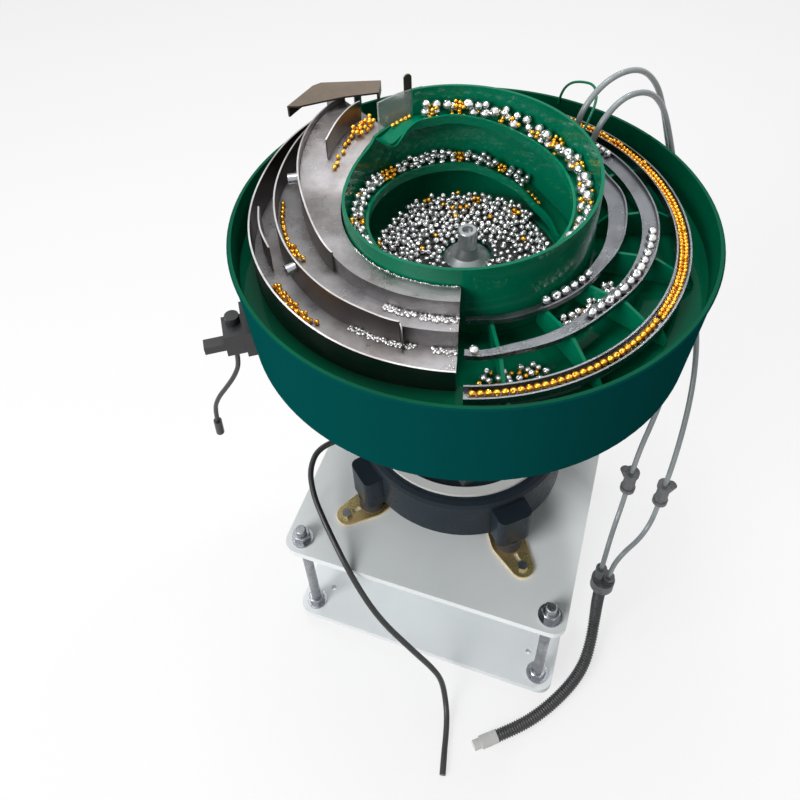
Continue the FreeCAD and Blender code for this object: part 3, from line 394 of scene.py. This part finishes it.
def bead_shape(radius, around, rows):
    """The points and faces of one bead: a ball with a hole through it along Z."""
    start = math.asin(hole_share)
    points, faces = [], []
    for i in range(rows):
        tilt = start + (math.pi - 2 * start) * i / (rows - 1)
        reach, z = radius * math.sin(tilt), radius * math.cos(tilt)
        for k in range(around):
            turn = 2 * math.pi * k / around
            points.append((reach * math.cos(turn), reach * math.sin(turn), z))
    for i in range(rows):
        below = (i + 1) % rows
        for k in range(around):
            side = (k + 1) % around
            faces.append((i * around + k, below * around + k, below * around + side, i * around + side))
    return np.array(points), np.array(faces)


def metres(point):
    return tuple(value / 1000 for value in point)


def mesh_piece(name, points, faces, materials, smooth=True):
    """A new piece of the scene, from points in metres."""
    mesh = bpy.data.meshes.new(name)
    mesh.from_pydata(points, [], faces)
    for material in materials:
        mesh.materials.append(material)
    mesh.polygons.foreach_set("use_smooth", [smooth] * len(mesh.polygons))
    piece = bpy.data.objects.new(name, mesh)
    bpy.context.scene.collection.objects.link(piece)
    return piece


def bead_piece(name, seed, spots, body, *stands_for, around=14, rows=7):
    """One mesh of many beads, each turned at random. A spot is (x, y, z, radius, gold) in millimetres."""
    chance = random.Random(seed)
    points, faces, tones = [], [], []
    for x, y, z, radius, gold in spots:
        shape, quads = bead_shape(radius / 1000, around, rows)
        turn = (Matrix.Rotation(chance.uniform(0, 6.28), 3, "Z")
                @ Matrix.Rotation(chance.uniform(0.2, 1.5), 3, "X"))
        points.append(shape @ np.array(turn).T + np.array((x, y, z)) / 1000)
        faces.append(quads + len(faces) * len(shape))
        tones += [1 if gold else 0] * len(quads)
    points, faces = np.concatenate(points).tolist(), np.concatenate(faces).tolist()
    beads = mesh_piece(name, points, faces, (silver_bead, gold_bead))
    beads.data.polygons.foreach_set("material_index", tones)
    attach(beads, body)
    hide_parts(*stands_for)


def on_circle(radius, azimuth, height):
    """A point round the bowl's axis, in millimetres. The azimuth is in degrees from +X."""
    turn = math.radians(azimuth)
    return radius * math.cos(turn), radius * math.sin(turn), height


def reading(stations, azimuth):
    """A size read off a short list of (azimuth, size) pairs."""
    azimuths, sizes = zip(*stations)
    return float(np.interp(azimuth, azimuths, sizes))


def settle(tries, pick, floor, ceiling):
    """Drops beads one after another. Each tries four places, and lies in the one where its underside gets
    lowest, on the floor or on the beads already there. It is left out where it would top the ceiling."""
    cell, small_brass, sunk = 9, 2.3, 4.5
    grid, resting = {}, []
    for _ in range(tries):
        best = None
        for _ in range(4):
            x, y, radius, gold, where = pick()
            z = floor(where) + radius
            column, row = int(x // cell), int(y // cell)
            for i in (column - 1, column, column + 1):
                for j in (row - 1, row, row + 1):
                    for near_x, near_y, near_z, near_radius, _ in grid.get((i, j), ()):
                        gap = (near_x - x) ** 2 + (near_y - y) ** 2
                        touch = radius + near_radius
                        if gap < touch * touch:
                            z = max(z, near_z + math.sqrt(touch * touch - gap))
            highest = ceiling(where) - (sunk if gold and radius < small_brass else 0)
            if z + radius <= highest and (best is None or z - radius < best[2] - best[3]):
                best = (x, y, z, radius, gold)
        if best:
            grid.setdefault((int(best[0] // cell), int(best[1] // cell)), []).append(best)
            resting.append(best)
    return resting


chance = random.Random(4)
bowl_floor, floor_crown = 511, 5
bowl_wall, nut_foot = 112, 30
nut_edge, floor_edge = 22.5, 91
heap_level, heap_slope = 525, 8


def heap_floor(reach):
    """The bowl's floor, which rises a little from its wall to the nut."""
    return bowl_floor + floor_crown * min(1.0, (bowl_wall - reach) / (bowl_wall - nut_foot))


def at_track_start(azimuth):
    return 18 < azimuth < 54


def heap_pick():
    """A bead somewhere on the bowl's floor. Brass ones are rare, but gather in two places at the back."""
    reach, azimuth = math.sqrt(chance.uniform(24.5 ** 2, 87.5 ** 2)), chance.uniform(0, 360)
    radius = chance.choice((2.7, 3.0, 3.0, 3.3))
    reach = min(max(reach, nut_edge + radius), floor_edge - radius)
    x, y, _ = on_circle(reach, azimuth, 0)
    gold = chance.random() < 0.015 or math.hypot(x - 30, y - 74) < 6 or math.hypot(x + 11, y - 78) < 4
    return x, y, 2.5 if gold else radius, gold, (reach, azimuth)


def heap_ceiling(where):
    """The heap lies deeper at the left and the back, and thins out where the track starts."""
    reach, azimuth = where
    if at_track_start(azimuth) and reach > 80:
        return bowl_floor
    return heap_level + heap_slope * max(0.0, math.cos(math.radians(azimuth - 125))) * reach / 88


bead_piece("bowl_heap", 1, settle(3800, heap_pick, lambda where: heap_floor(where[0]), heap_ceiling),
           "bowl", "bead_heap", around=9, rows=5)

# The depth of the heap: a dark ring in painted shade, which stands for the beads under the top ones that lie
# in shadow, so that only glints show.
# It is one rippled ring from the nut to the wall, a few millimetres above the bowl's floor.
points, faces = [], []
rings, around = 9, 72
bed_height, start_drop = 5.2, 4.5
for i in range(rings):
    for k in range(around):
        reach, azimuth = 23.5 + 65 * i / (rings - 1), 360 / around * k
        height = heap_floor(reach) + bed_height + chance.uniform(-0.5, 0.5)
        height -= start_drop if at_track_start(azimuth) and i > 6 else 0
        points.append(metres(on_circle(reach, azimuth, height)))
        if i:
            side = (k + 1) % around
            faces.append((around * (i - 1) + k, around * i + k, around * i + side, around * (i - 1) + side))
# Its near-black colour is painted shade.
heap_shade = mottled("heap_shade", (0.05, 0.05, 0.052), (0.012, 0.012, 0.013), 320.0, 900.0, (0.25, 0.5),
                     metallic=0.8, bump=0.8, height=0.002)
bed = mesh_piece("heap_shade_ring", points, faces, (heap_shade,), smooth=False)
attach(bed, "bowl")

# The beads on the track: they ride up in single file and in bunches, on a track that climbs round the bowl.
# The lower turn carries smaller beads than the upper one, and the last ones wait on the exit's ledge.
track_level = 571.3
track_line = [(30, -53.7), (42, -51.6), (54, -46.2), (66, -37.8), (80, -28), (105, -16), (137, -13),
              (250, -4), (360, 11), (427, 26), (469, 40), (494, 43), (518, 38)]
track_inside, track_outside = 95.2, 111.4


def track_pick(start, end, golds, sizes):
    """A chooser of beads on a stretch of the track. Brass beads gather in the stretches that golds lists."""
    def pick():
        azimuth = chance.uniform(start, end)
        gold = any(low < azimuth < high for low, high in golds) or chance.random() < 0.03
        radius = chance.choice((2.1, 2.25)) if gold else chance.choice(sizes)
        x, y, _ = on_circle(chance.uniform(track_inside + radius, track_outside - radius), azimuth, 0)
        return x, y, radius, gold, azimuth
    return pick


def track_floor(azimuth):
    return track_level + reading(track_line, azimuth)


rows = settle(3000, track_pick(70, 252, [(106, 113), (82, 89), (148, 159), (199, 205)], (3.1, 3.5, 3.8)),
              track_floor, lambda azimuth: track_floor(azimuth) + 14.5)
upper_golds = [(342, 347), (365, 370), (391, 396), (410, 417), (446, 451), (468, 473), (483, 488)]
rows += settle(3000, track_pick(330, 491.5, upper_golds, (3.8, 4.6, 5.3)),
               track_floor, lambda azimuth: track_floor(azimuth) + 19)
ledge_size = 2.2
for radius, azimuth in ((98.5, 58.5), (98.8, 61.2), (99.2, 63.9), (98.9, 66.6),
                        (109, 497), (108.6, 499.4), (109, 501.8), (108.4, 504.6), (109, 507.2)):
    rows.append((*on_circle(radius, azimuth, track_floor(azimuth) + ledge_size), ledge_size, True))
bead_piece("track_rows", 2, rows, "bowl", "track_beads")

# The brass beads in the outer rail: one file of large ones in front, then two files of small ones abreast.
# A few more lie on top of the two files, most of them near the hoses.
rail_start, rail_turn = -76.0, 174.0
channel_level, channel_rise, channel_middle = 546, 20, 191.4
large_size, small_size = 3.1, 2.25


def rail_share(azimuth):
    """How far along the rails a place is, from 0 at their front ends to 1."""
    return (azimuth - rail_start) / rail_turn


gold_row = []
for start, end, radius, size in ((-74, -22, channel_middle, large_size), (-20, 94.5, 193.6, small_size),
                                 (-19.3, 94.5, 189.3, small_size)):
    azimuth = start
    while azimuth < end:
        level = channel_level + channel_rise * rail_share(azimuth)
        x, y, z = on_circle(radius + chance.uniform(-0.25, 0.25), azimuth, level + size + 0.2)
        gold_row.append((x, y, z, size, True))
        azimuth += math.degrees(2 * size * chance.uniform(1.01, 1.05) / radius)
for azimuth in (52, 53.4, 54.8, 57.5, 59.0, 60.4, 61.8, 63, 64.5, 68, 69.4, 71, 72.6, 74, 78, 81, 83, 42,
                12.5, 1.5, -9):
    level = channel_level + channel_rise * rail_share(azimuth)
    x, y, z = on_circle(channel_middle + chance.uniform(-1.2, 1.2), azimuth, level + 6.3)
    gold_row.append((x, y, z, small_size, True))
bead_piece("gold_row", 3, gold_row, "bowl", "gold_bead_row")

# The loose steel beads: short files against the raised edges of the two inner rails, one at a rail's end,
# and two small piles that fell between the rails onto the pan's floor.
middle_edge = [(-76, 165), (-50, 162.6), (-30, 160.5), (17, 172), (60, 176.6), (78, 178.7)]
inner_edge = [(-76, 126.6), (-40, 127.6), (-16, 130.8), (14, 143), (24, 147.9), (46, 154.2)]
edge_width, pan_floor = 1.9, 535
loose = []
for start, end, edge, low, rise, size in (
        (-35, 9, middle_edge, 561, 4, 4.7), (51, 75, middle_edge, 561, 4, 3.4),
        (-43, -20, inner_edge, 559, 6, 4.4)):
    azimuth = start
    while azimuth < end:
        radius = reading(edge, azimuth) - edge_width - size
        x, y, z = on_circle(radius, azimuth, low + rise * rail_share(azimuth) + size)
        loose.append((x, y, z, size * chance.choice((0.85, 1.0)), False))
        azimuth += math.degrees(chance.uniform(2.02, 2.3) * size / radius)
end_size = 4.4
loose.append((*on_circle(161, -73.4, 561.1 + end_size), end_size, False))


def pocket_pick(low, high, start, end):
    """A chooser of beads in the room between two rails, from one radius to another."""
    def pick():
        azimuth = chance.uniform(start, end)
        gold = chance.random() < 0.3
        radius = 2.2 if gold else chance.choice((2.8, 3.2, 3.4))
        x, y, _ = on_circle(chance.uniform(low + radius, high - radius), azimuth, 0)
        return x, y, radius, gold, azimuth
    return pick


loose += settle(260, pocket_pick(130, 147, -42, -12), lambda azimuth: pan_floor,
                lambda azimuth: pan_floor + 17)
loose += settle(150, pocket_pick(158, 183, -72, -53), lambda azimuth: pan_floor,
                lambda azimuth: pan_floor + 9)
bead_piece("loose_beads", 4, loose, "bowl", "loose_silver_beads")

# The brass beads caught on the tray: bunches against the fences and a longer one behind the gate at its head.
# The fences' lines are given as shares of the tray's width, and the steps' levels fall from the bowl's rim.
bowl_rim, tray_inside, tray_width = 571, 115, 107
tray_head, tray_turn = 147, 135
shares = {"outer": [(147, 0.925), (165, 0.9), (182, 0.855), (205, 0.82), (228, 0.757), (250, 0.682),
                    (270, 0.617), (282, 0.589)],
          "middle": [(147, 0.82), (165, 0.75), (182, 0.673), (205, 0.551), (228, 0.449), (250, 0.374),
                     (270, 0.327), (282, 0.318)],
          "inner": [(147, 0.69), (160, 0.65), (178, 0.505), (189, 0.393), (205, 0.271), (228, 0.206),
                    (250, 0.187), (282, 0.168)]}
inner_step_line = [(147, 33), (158, 33), (172, 24), (190, 14), (230, 13), (282, 20)]
brass = 2.35


def fence_radius(line, azimuth):
    return tray_inside + tray_width * reading(shares[line], azimuth)


def step_level(azimuth, step):
    """The height of a step of the tray. The inner step is 0, the middle one 1 and the outer one 2."""
    share = (azimuth - tray_head) / tray_turn
    return bowl_rim + (reading(inner_step_line, azimuth), -14 + 16 * share, -30 + 12 * share)[step]


def caught_pick(start, end, line, width, spread):
    """A chooser of brass beads that lie against the inner side of a fence."""
    def pick():
        azimuth = chance.uniform(start, end)
        x, y, _ = on_circle(fence_radius(line, azimuth) - 4.2 - width * chance.random() ** spread, azimuth, 0)
        return x, y, brass, True, azimuth
    return pick


caught = settle(60, caught_pick(219, 239, "outer", 12, 2.0), lambda azimuth: step_level(azimuth, 2) + 0.3,
                lambda azimuth: step_level(azimuth, 2) + 9)
caught += settle(26, caught_pick(187, 217, "middle", 1.2, 1.0), lambda azimuth: step_level(azimuth, 1) + 0.3,
                 lambda azimuth: step_level(azimuth, 1) + 6)
caught += settle(24, caught_pick(210, 218, "middle", 6.5, 1.5), lambda azimuth: step_level(azimuth, 1) + 0.3,
                 lambda azimuth: step_level(azimuth, 1) + 9)


def gate_pick():
    """A brass bead behind the gate, in a bunch that tapers to a single file."""
    azimuth = chance.uniform(149, 178)
    gate, bunch = reading([(149, 142), (160, 138), (178, 134)], azimuth), 11 if azimuth < 160 else 3.5
    x, y, _ = on_circle(gate - bunch * chance.random(), azimuth, 0)
    return x, y, brass, True, azimuth


caught += settle(64, gate_pick, lambda azimuth: step_level(azimuth, 0) + 0.4,
                 lambda azimuth: step_level(azimuth, 0) + (11 if azimuth < 162 else 5.2))
bead_piece("tray_cluster", 5, caught, "bowl", "tray_beads")


# The welds of the tray: rows of small bright drops of weld metal along the fences' feet and by the bowl,
# and spatter on the tray's right end. Each drop is a low dome.
def band(low, high, around):
    """The faces between two rings of points, given the numbers of their first points."""
    return [(low + k, low + (k + 1) % around, high + (k + 1) % around, high + k) for k in range(around)]


drops = []
for start, end, line, level in ((255, 267, "inner", 1), (269, 281.6, "inner", 1), (247, 269, "middle", 2),
                                (274, 281.6, "middle", 2)):
    azimuth = start
    while azimuth < end:
        size = chance.uniform(1.0, 2.2)
        radius = fence_radius(line, azimuth) + chance.uniform(0.8, 6.5)
        x, y, z = on_circle(radius, azimuth, step_level(azimuth, level) + 0.2)
        drops.append((x, y, z, size))
        azimuth += chance.uniform(0.12, 0.35)
for azimuth in (279.6, 280.2, 280.8, 281.3):
    for radius in (137, 148, 152, 160, 171):
        level = (radius >= fence_radius("inner", azimuth)) + (radius >= fence_radius("middle", azimuth))
        x, y, z = on_circle(radius + chance.uniform(-4, 4), azimuth, step_level(azimuth, level) + 0.1)
        drops.append((x, y, z, chance.uniform(0.6, 1.2)))
for azimuth in np.arange(228, 282, 0.9):
    x, y, z = on_circle(116.4 + chance.uniform(-0.3, 0.9), azimuth, step_level(azimuth, 0) + 0.1)
    drops.append((x, y, z, chance.uniform(0.5, 1.3)))
points, faces, around = [], [], 8
for x, y, z, size in drops:
    first = len(points)
    for rise, width in ((0.0, 1.0), (0.5, 0.86), (0.85, 0.5)):
        for k in range(around):
            turn = 2 * math.pi * k / around
            points.append(metres((x + size * width * math.cos(turn), y + size * width * math.sin(turn),
                                  z + size * rise)))
    points.append(metres((x, y, z + size)))
    middle, top, tip = first + around, first + 2 * around, first + 3 * around
    faces += band(first, middle, around) + band(middle, top, around)
    faces += [(top + k, top + (k + 1) % around, tip) for k in range(around)]
    faces.append(tuple(range(first, middle))[::-1])
weld_metal = mottled("weld_metal", (0.80, 0.80, 0.80), (0.34, 0.33, 0.32), 400.0, 1500.0, (0.14, 0.36),
                     metallic=1.0)
welds = mesh_piece("weld_drops", points, faces, (weld_metal,))
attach(welds, "bowl")


# The head of the tray: an upright end sheet of the same steel, welded in under the hood.
# Its lower edge is cut to the tray's two outer steps.
def thick_sheet(piece):
    """Gives a flat piece the thickness of the fences' sheet."""
    sheet = piece.modifiers.new("sheet", "SOLIDIFY")
    sheet.thickness = 0.0012
    sheet.offset = 0


points = [metres(on_circle(radius, 149, height)) for radius, height in (
    (188.5, 558), (203, 558), (203, 542), (213, 542), (213, 613.2), (188.5, 613.2))]
head = mesh_piece("tray_head", points, [(0, 1, 4, 5), (1, 2, 3, 4)], (tray_steel,), smooth=False)
thick_sheet(head)
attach(head, "bowl")

# The end of the middle fence: its sheet is bent outward there in a small curl that stands on the outer step.
# The curl's upper edge falls as it goes out, because the sheet is cut off at a slant.
curl_line = [(fence_radius("middle", 263.6) + 0.3, 263.6, 577), (153, 264.6, 576), (156, 265.3, 572),
             (158.5, 265.8, 566), (160.5, 266.1, 560), (162, 266.3, 556)]
points = []
for radius, azimuth, top in curl_line:
    for height in (step_level(azimuth, 2) + 0.2, top):
        points.append(metres(on_circle(radius, azimuth, height)))
faces = [(2 * i, 2 * i + 2, 2 * i + 3, 2 * i + 1) for i in range(len(curl_line) - 1)]
curl = mesh_piece("fence_curl", points, faces, (fence_steel,))
rounder = curl.modifiers.new("rounder", "SUBSURF")
rounder.levels = rounder.render_levels = 2
thick_sheet(curl)
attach(curl, "bowl")


# The hoses: two thin grey plastic air hoses that start in nipples beside the bowl, loop over the pan's rim
# and hang down to black inline fittings. A short piece goes on from each of them to the conduit's couplings.
def cord_curve(name, points, radius, material, body):
    """A smooth round cord. Its points are in millimetres, as the part's own route gives them."""
    curve = bpy.data.curves.new(name, "CURVE")
    curve.dimensions = "3D"
    curve.resolution_u = 8
    curve.bevel_depth = radius / 1000
    curve.bevel_resolution = 3
    curve.use_fill_caps = True
    spline = curve.splines.new("NURBS")
    spline.points.add(len(points) - 1)
    for spot, point in zip(spline.points, points):
        spot.co = (*metres(point), 1)
    spline.order_u = 3
    spline.use_endpoint_u = True
    curve.materials.append(material)
    cord = bpy.data.objects.new(name, curve)
    bpy.context.scene.collection.objects.link(cord)
    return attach(cord, body)


hose_skin = mottled("hose_skin", (0.30, 0.33, 0.34), (0.22, 0.25, 0.255), 35.0, 500.0, (0.2, 0.35), coat=0.3)
hose_a_points = [(72, 124.7, 556.3), (72, 124.7, 590), (79, 132.5, 620), (97, 153, 640), (121, 180, 638),
                 (139, 201, 612), (151, 212, 577), (162, 212, 540), (176, 201, 505), (192, 179, 472),
                 (208, 151, 444), (222, 119, 418), (233, 86, 390), (239.5, 56, 358), (241.5, 28, 318),
                 (240, 0, 268.3), (240, 0, 228)]
hose_b_points = [(90.6, 111.9, 556.3), (90.6, 111.9, 586), (97, 119.5, 612), (113, 138.5, 630),
                 (134, 163, 624), (149, 184, 598), (160, 196, 564), (171, 196, 530), (183, 182, 498),
                 (195, 160, 468), (206, 133, 440), (214, 102, 414), (217, 73, 386), (215, 47, 354),
                 (210.5, 25, 318), (202, 0, 272), (202, 0, 236)]
hose_a_low_points = [(240, 0, 192), (240, 0, 169.8), (237.2, -8.4, 149.7), (228.6, -25, 138.3),
                     (214.5, -43.9, 133), (205.5, -56, 114.1), (205.5, -56, 90)]
hose_b_low_points = [(202, 0, 200), (202, 0, 179.6), (200.3, -10.3, 162.1), (197.6, -26.7, 150.4),
                     (195.4, -44.9, 141.5), (194.5, -56, 124.4), (194.5, -56, 104)]
for name, node, points, length, fitting in (
        ("air_hose_a", "hose_a", hose_a_points, 0.648, "y_fittings"),
        ("air_hose_b", "hose_b", hose_b_points, 0.596, "y_fittings"),
        ("air_hose_a_end", "hose_a_lower", hose_a_low_points, 0.136, "hose_couplings"),
        ("air_hose_b_end", "hose_b_lower", hose_b_low_points, 0.121, "hose_couplings")):
    hose = cord_curve(name, points, 3.0, hose_skin, "base")
    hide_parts(node)
fitting_plastic = mottled("fitting_plastic", (0.085, 0.09, 0.095), (0.16, 0.165, 0.17), 150.0, 700.0,
                          (0.4, 0.6), bump=0.4)
dress(fitting_plastic, "y_fittings", "hose_couplings")

# The stay of the hoses: a thin bent steel wire from the pan's rim to the foot of the first hose.
# It was dipped with the pan, so it has the same green coat.
stay = cord_curve("hose_stay", [(43.5, 213.5, 566), (45, 213, 580), (53, 211, 594), (66, 206, 600),
                                (80, 199, 602), (86, 180, 596), (80, 152, 580), (74, 131, 562)],
                  1.4, bowl_coat, "bowl")

# The cables: a black rubber mains lead that leaves the drum in a tapered gland and drops to the floor, and
# the thin lead of the sensor, which hangs down from its bracket on the pan.
cable_jacket = mottled("cable_jacket", (0.014, 0.014, 0.016), (0.026, 0.026, 0.028), 40.0, 700.0, (0.3, 0.45),
                       coat=0.1)
dress(cable_jacket, "cable_gland", "cable_plug", "sensor_bracket", "lead_connector")
cable_points = [(-131.6, -58.1, 235.4), (-155, -73.6, 234), (-158, -103.5, 225.6), (-142.5, -130, 214.9),
                (-122, -151, 205.6), (-101.5, -169.8, 195.6), (-81.3, -186.6, 181.7), (-61.4, -199.9, 163),
                (-43.4, -208.2, 141.3), (-24.7, -212.9, 118.8), (-6.5, -214.1, 95.5), (10.3, -214.4, 71.5),
                (25.8, -213.6, 47.4), (38.6, -214.3, 21.8), (46.6, -223.6, -4.4), (56.2, -247, -16.3),
                (61, -276, -16.3)]
cable = cord_curve("mains_cable", cable_points, 3.5, cable_jacket, "base")
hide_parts("power_cable")
lead_points = [(-192.7, -134.7, 468), (-192.7, -134.7, 445.7), (-200.6, -137.4, 425.1), (-212, -140.7, 406.3),
               (-224.2, -143.8, 387.8), (-232.4, -145, 367.2), (-233.9, -144.7, 345)]
lead = cord_curve("sensor_cable", lead_points, 2.5, cable_jacket, "bowl")
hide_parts("sensor_lead")

# The conduit: a black corrugated plastic tube that takes the two hoses in, and lies on the floor in front.
# Its ribs are 3.2 mm apart. They follow the route's own spline in steps of a quarter of that.
conduit_points = [(200, -56, 62), (200, -57.8, 32.9), (202, -73.6, 8.4), (203, -99.2, -5.6),
                  (200.2, -127.6, -11.8), (190, -155, -12.3), (175.5, -180.3, -12.3), (158.5, -204, -12.3),
                  (138.6, -225.5, -12.3), (116, -244, -12.3)]
conduit_skin = mottled("conduit_skin", (0.03, 0.03, 0.033), (0.06, 0.06, 0.063), 60.0, 900.0, (0.35, 0.5))
route = cord_curve("conduit_route", conduit_points, 0.0, conduit_skin, "base")
line = bpy.data.meshes.new_from_object(route)
path = [vertex.co.copy() for vertex in line.vertices]
bpy.data.objects.remove(route)
step, steps_a_rib = 0.0008, 4
spaced, travelled = [path[0]], 0.0
for before, after in zip(path, path[1:]):
    span = (after - before).length
    while travelled + span >= step:
        before = before.lerp(after, (step - travelled) / span)
        spaced.append(before)
        span = (after - before).length
        travelled = 0.0
    travelled += span
points, faces, around = [], [], 20
for i, spot in enumerate(spaced):
    ahead = (spaced[min(i + 1, len(spaced) - 1)] - spaced[max(i - 1, 0)]).normalized()
    side = ahead.cross(Vector((0.3, -0.2, 1))).normalized()
    over = side.cross(ahead)
    radius = 0.0067 + 0.0008 * math.cos(2 * math.pi * i / steps_a_rib)
    for k in range(around):
        turn = 2 * math.pi * k / around
        points.append(spot + side * math.cos(turn) * radius + over * math.sin(turn) * radius)
    if i:
        faces += band((i - 1) * around, i * around, around)
last = (len(spaced) - 1) * around
faces += [tuple(range(around))[::-1], tuple(range(last, last + around))]
conduit = mesh_piece("ribbed_conduit", points, faces, (conduit_skin,))
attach(conduit, "base")
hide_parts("conduit")
plug_plastic = mottled("plug_plastic", (0.74, 0.74, 0.72), (0.60, 0.60, 0.58), 60.0, 500.0, (0.3, 0.45))
dress(plug_plastic, "conduit_plug")


# The studio: a pale paper floor that the stand's studs rest on, a large lamp overhead, a larger one like a
# window on the left, a small one behind the object, and the camera at the photograph's angle.
def seen_or_mirrored(tree, low, high):
    """A node that gives high to what the camera sees, straight or in a mirror or glass, and low elsewhere."""
    rays = tree.nodes.new("ShaderNodeLightPath")
    seen = rays.outputs["Is Camera Ray"]
    for other in ("Is Glossy Ray", "Is Transmission Ray"):
        both = tree.nodes.new("ShaderNodeMath")
        both.operation = "MAXIMUM"
        tree.links.new(seen, both.inputs[0])
        tree.links.new(rays.outputs[other], both.inputs[1])
        seen = both.outputs[0]
    return stretch_range(tree, seen, low, high, 0.0, 1.0)


floor_white, shader = finish("floor_white", 0.0, 0.9)
shader.inputs["Base Color"].default_value = (0.93, 0.93, 0.93, 1)
tree = floor_white.node_tree
glow = tree.nodes.new("ShaderNodeEmission")
glow.inputs["Color"].default_value = (1, 1, 1, 1)
paper = tree.nodes.new("ShaderNodeMixShader")
tree.links.new(seen_or_mirrored(tree, 0.0, 0.72), paper.inputs[0])
tree.links.new(shader.outputs[0], paper.inputs[1])
tree.links.new(glow.outputs[0], paper.inputs[2])
tree.links.new(paper.outputs[0], tree.nodes["Material Output"].inputs["Surface"])
half, level = 4, -0.0201
floor = mesh_piece("floor",
                   [(-half, -half, level), (half, -half, level), (half, half, level), (-half, half, level)],
                   [(0, 1, 2, 3)], (floor_white,), smooth=False)

world = bpy.data.worlds.new("studio")
bpy.context.scene.world = world
world.use_nodes = True
tree = world.node_tree
air = tree.nodes["Background"]
air.inputs["Color"].default_value = (1, 1, 1, 1)
tree.links.new(seen_or_mirrored(tree, 0.24, 1.0), air.inputs["Strength"])


def lamp(name, place, target, size, power):
    """A soft square lamp aimed at a point."""
    light = bpy.data.lights.new(name, "AREA")
    light.shape = "SQUARE"
    light.size = size
    light.energy = power
    piece = bpy.data.objects.new(name, light)
    bpy.context.scene.collection.objects.link(piece)
    piece.location = place
    piece.rotation_mode = "QUATERNION"
    piece.rotation_quaternion = (Vector(target) - Vector(place)).to_track_quat("-Z", "Y")


lamp("overhead", (-0.3, 0.3, 2.6), (0, 0, 0.3), 1.0, 26)
lamp("left_window", (-1.4, -2.2, 1.9), (0, 0, 0.35), 1.6, 64)
lamp("ceiling_lamp", (0.5, 1.1, 2.3), (0, 0, 0.5), 0.16, 8)

lens = bpy.data.cameras.new("camera")
lens.sensor_width = 36.0
lens.lens = 36.09
lens.shift_x = 0.0375
lens.shift_y = -0.1376
camera = bpy.data.objects.new("camera", lens)
bpy.context.scene.collection.objects.link(camera)
bpy.context.scene.camera = camera
camera_place = Vector((0.137106, -0.560261, 1.045330))
azimuth, elevation, roll = math.radians(23.32), math.radians(44.65), math.radians(-4.81)
back = Vector((math.sin(azimuth) * math.cos(elevation), -math.cos(azimuth) * math.cos(elevation),
               math.sin(elevation)))
right = Vector((math.cos(azimuth), math.sin(azimuth), 0))
up = back.cross(right)
right_turned = right * math.cos(roll) + up * math.sin(roll)
up_turned = up * math.cos(roll) - right * math.sin(roll)
turned = Matrix((right_turned, up_turned, back)).transposed()
camera.matrix_world = Matrix.Translation(camera_place) @ turned.to_4x4()
bpy.context.scene.view_settings.view_transform = "Standard"
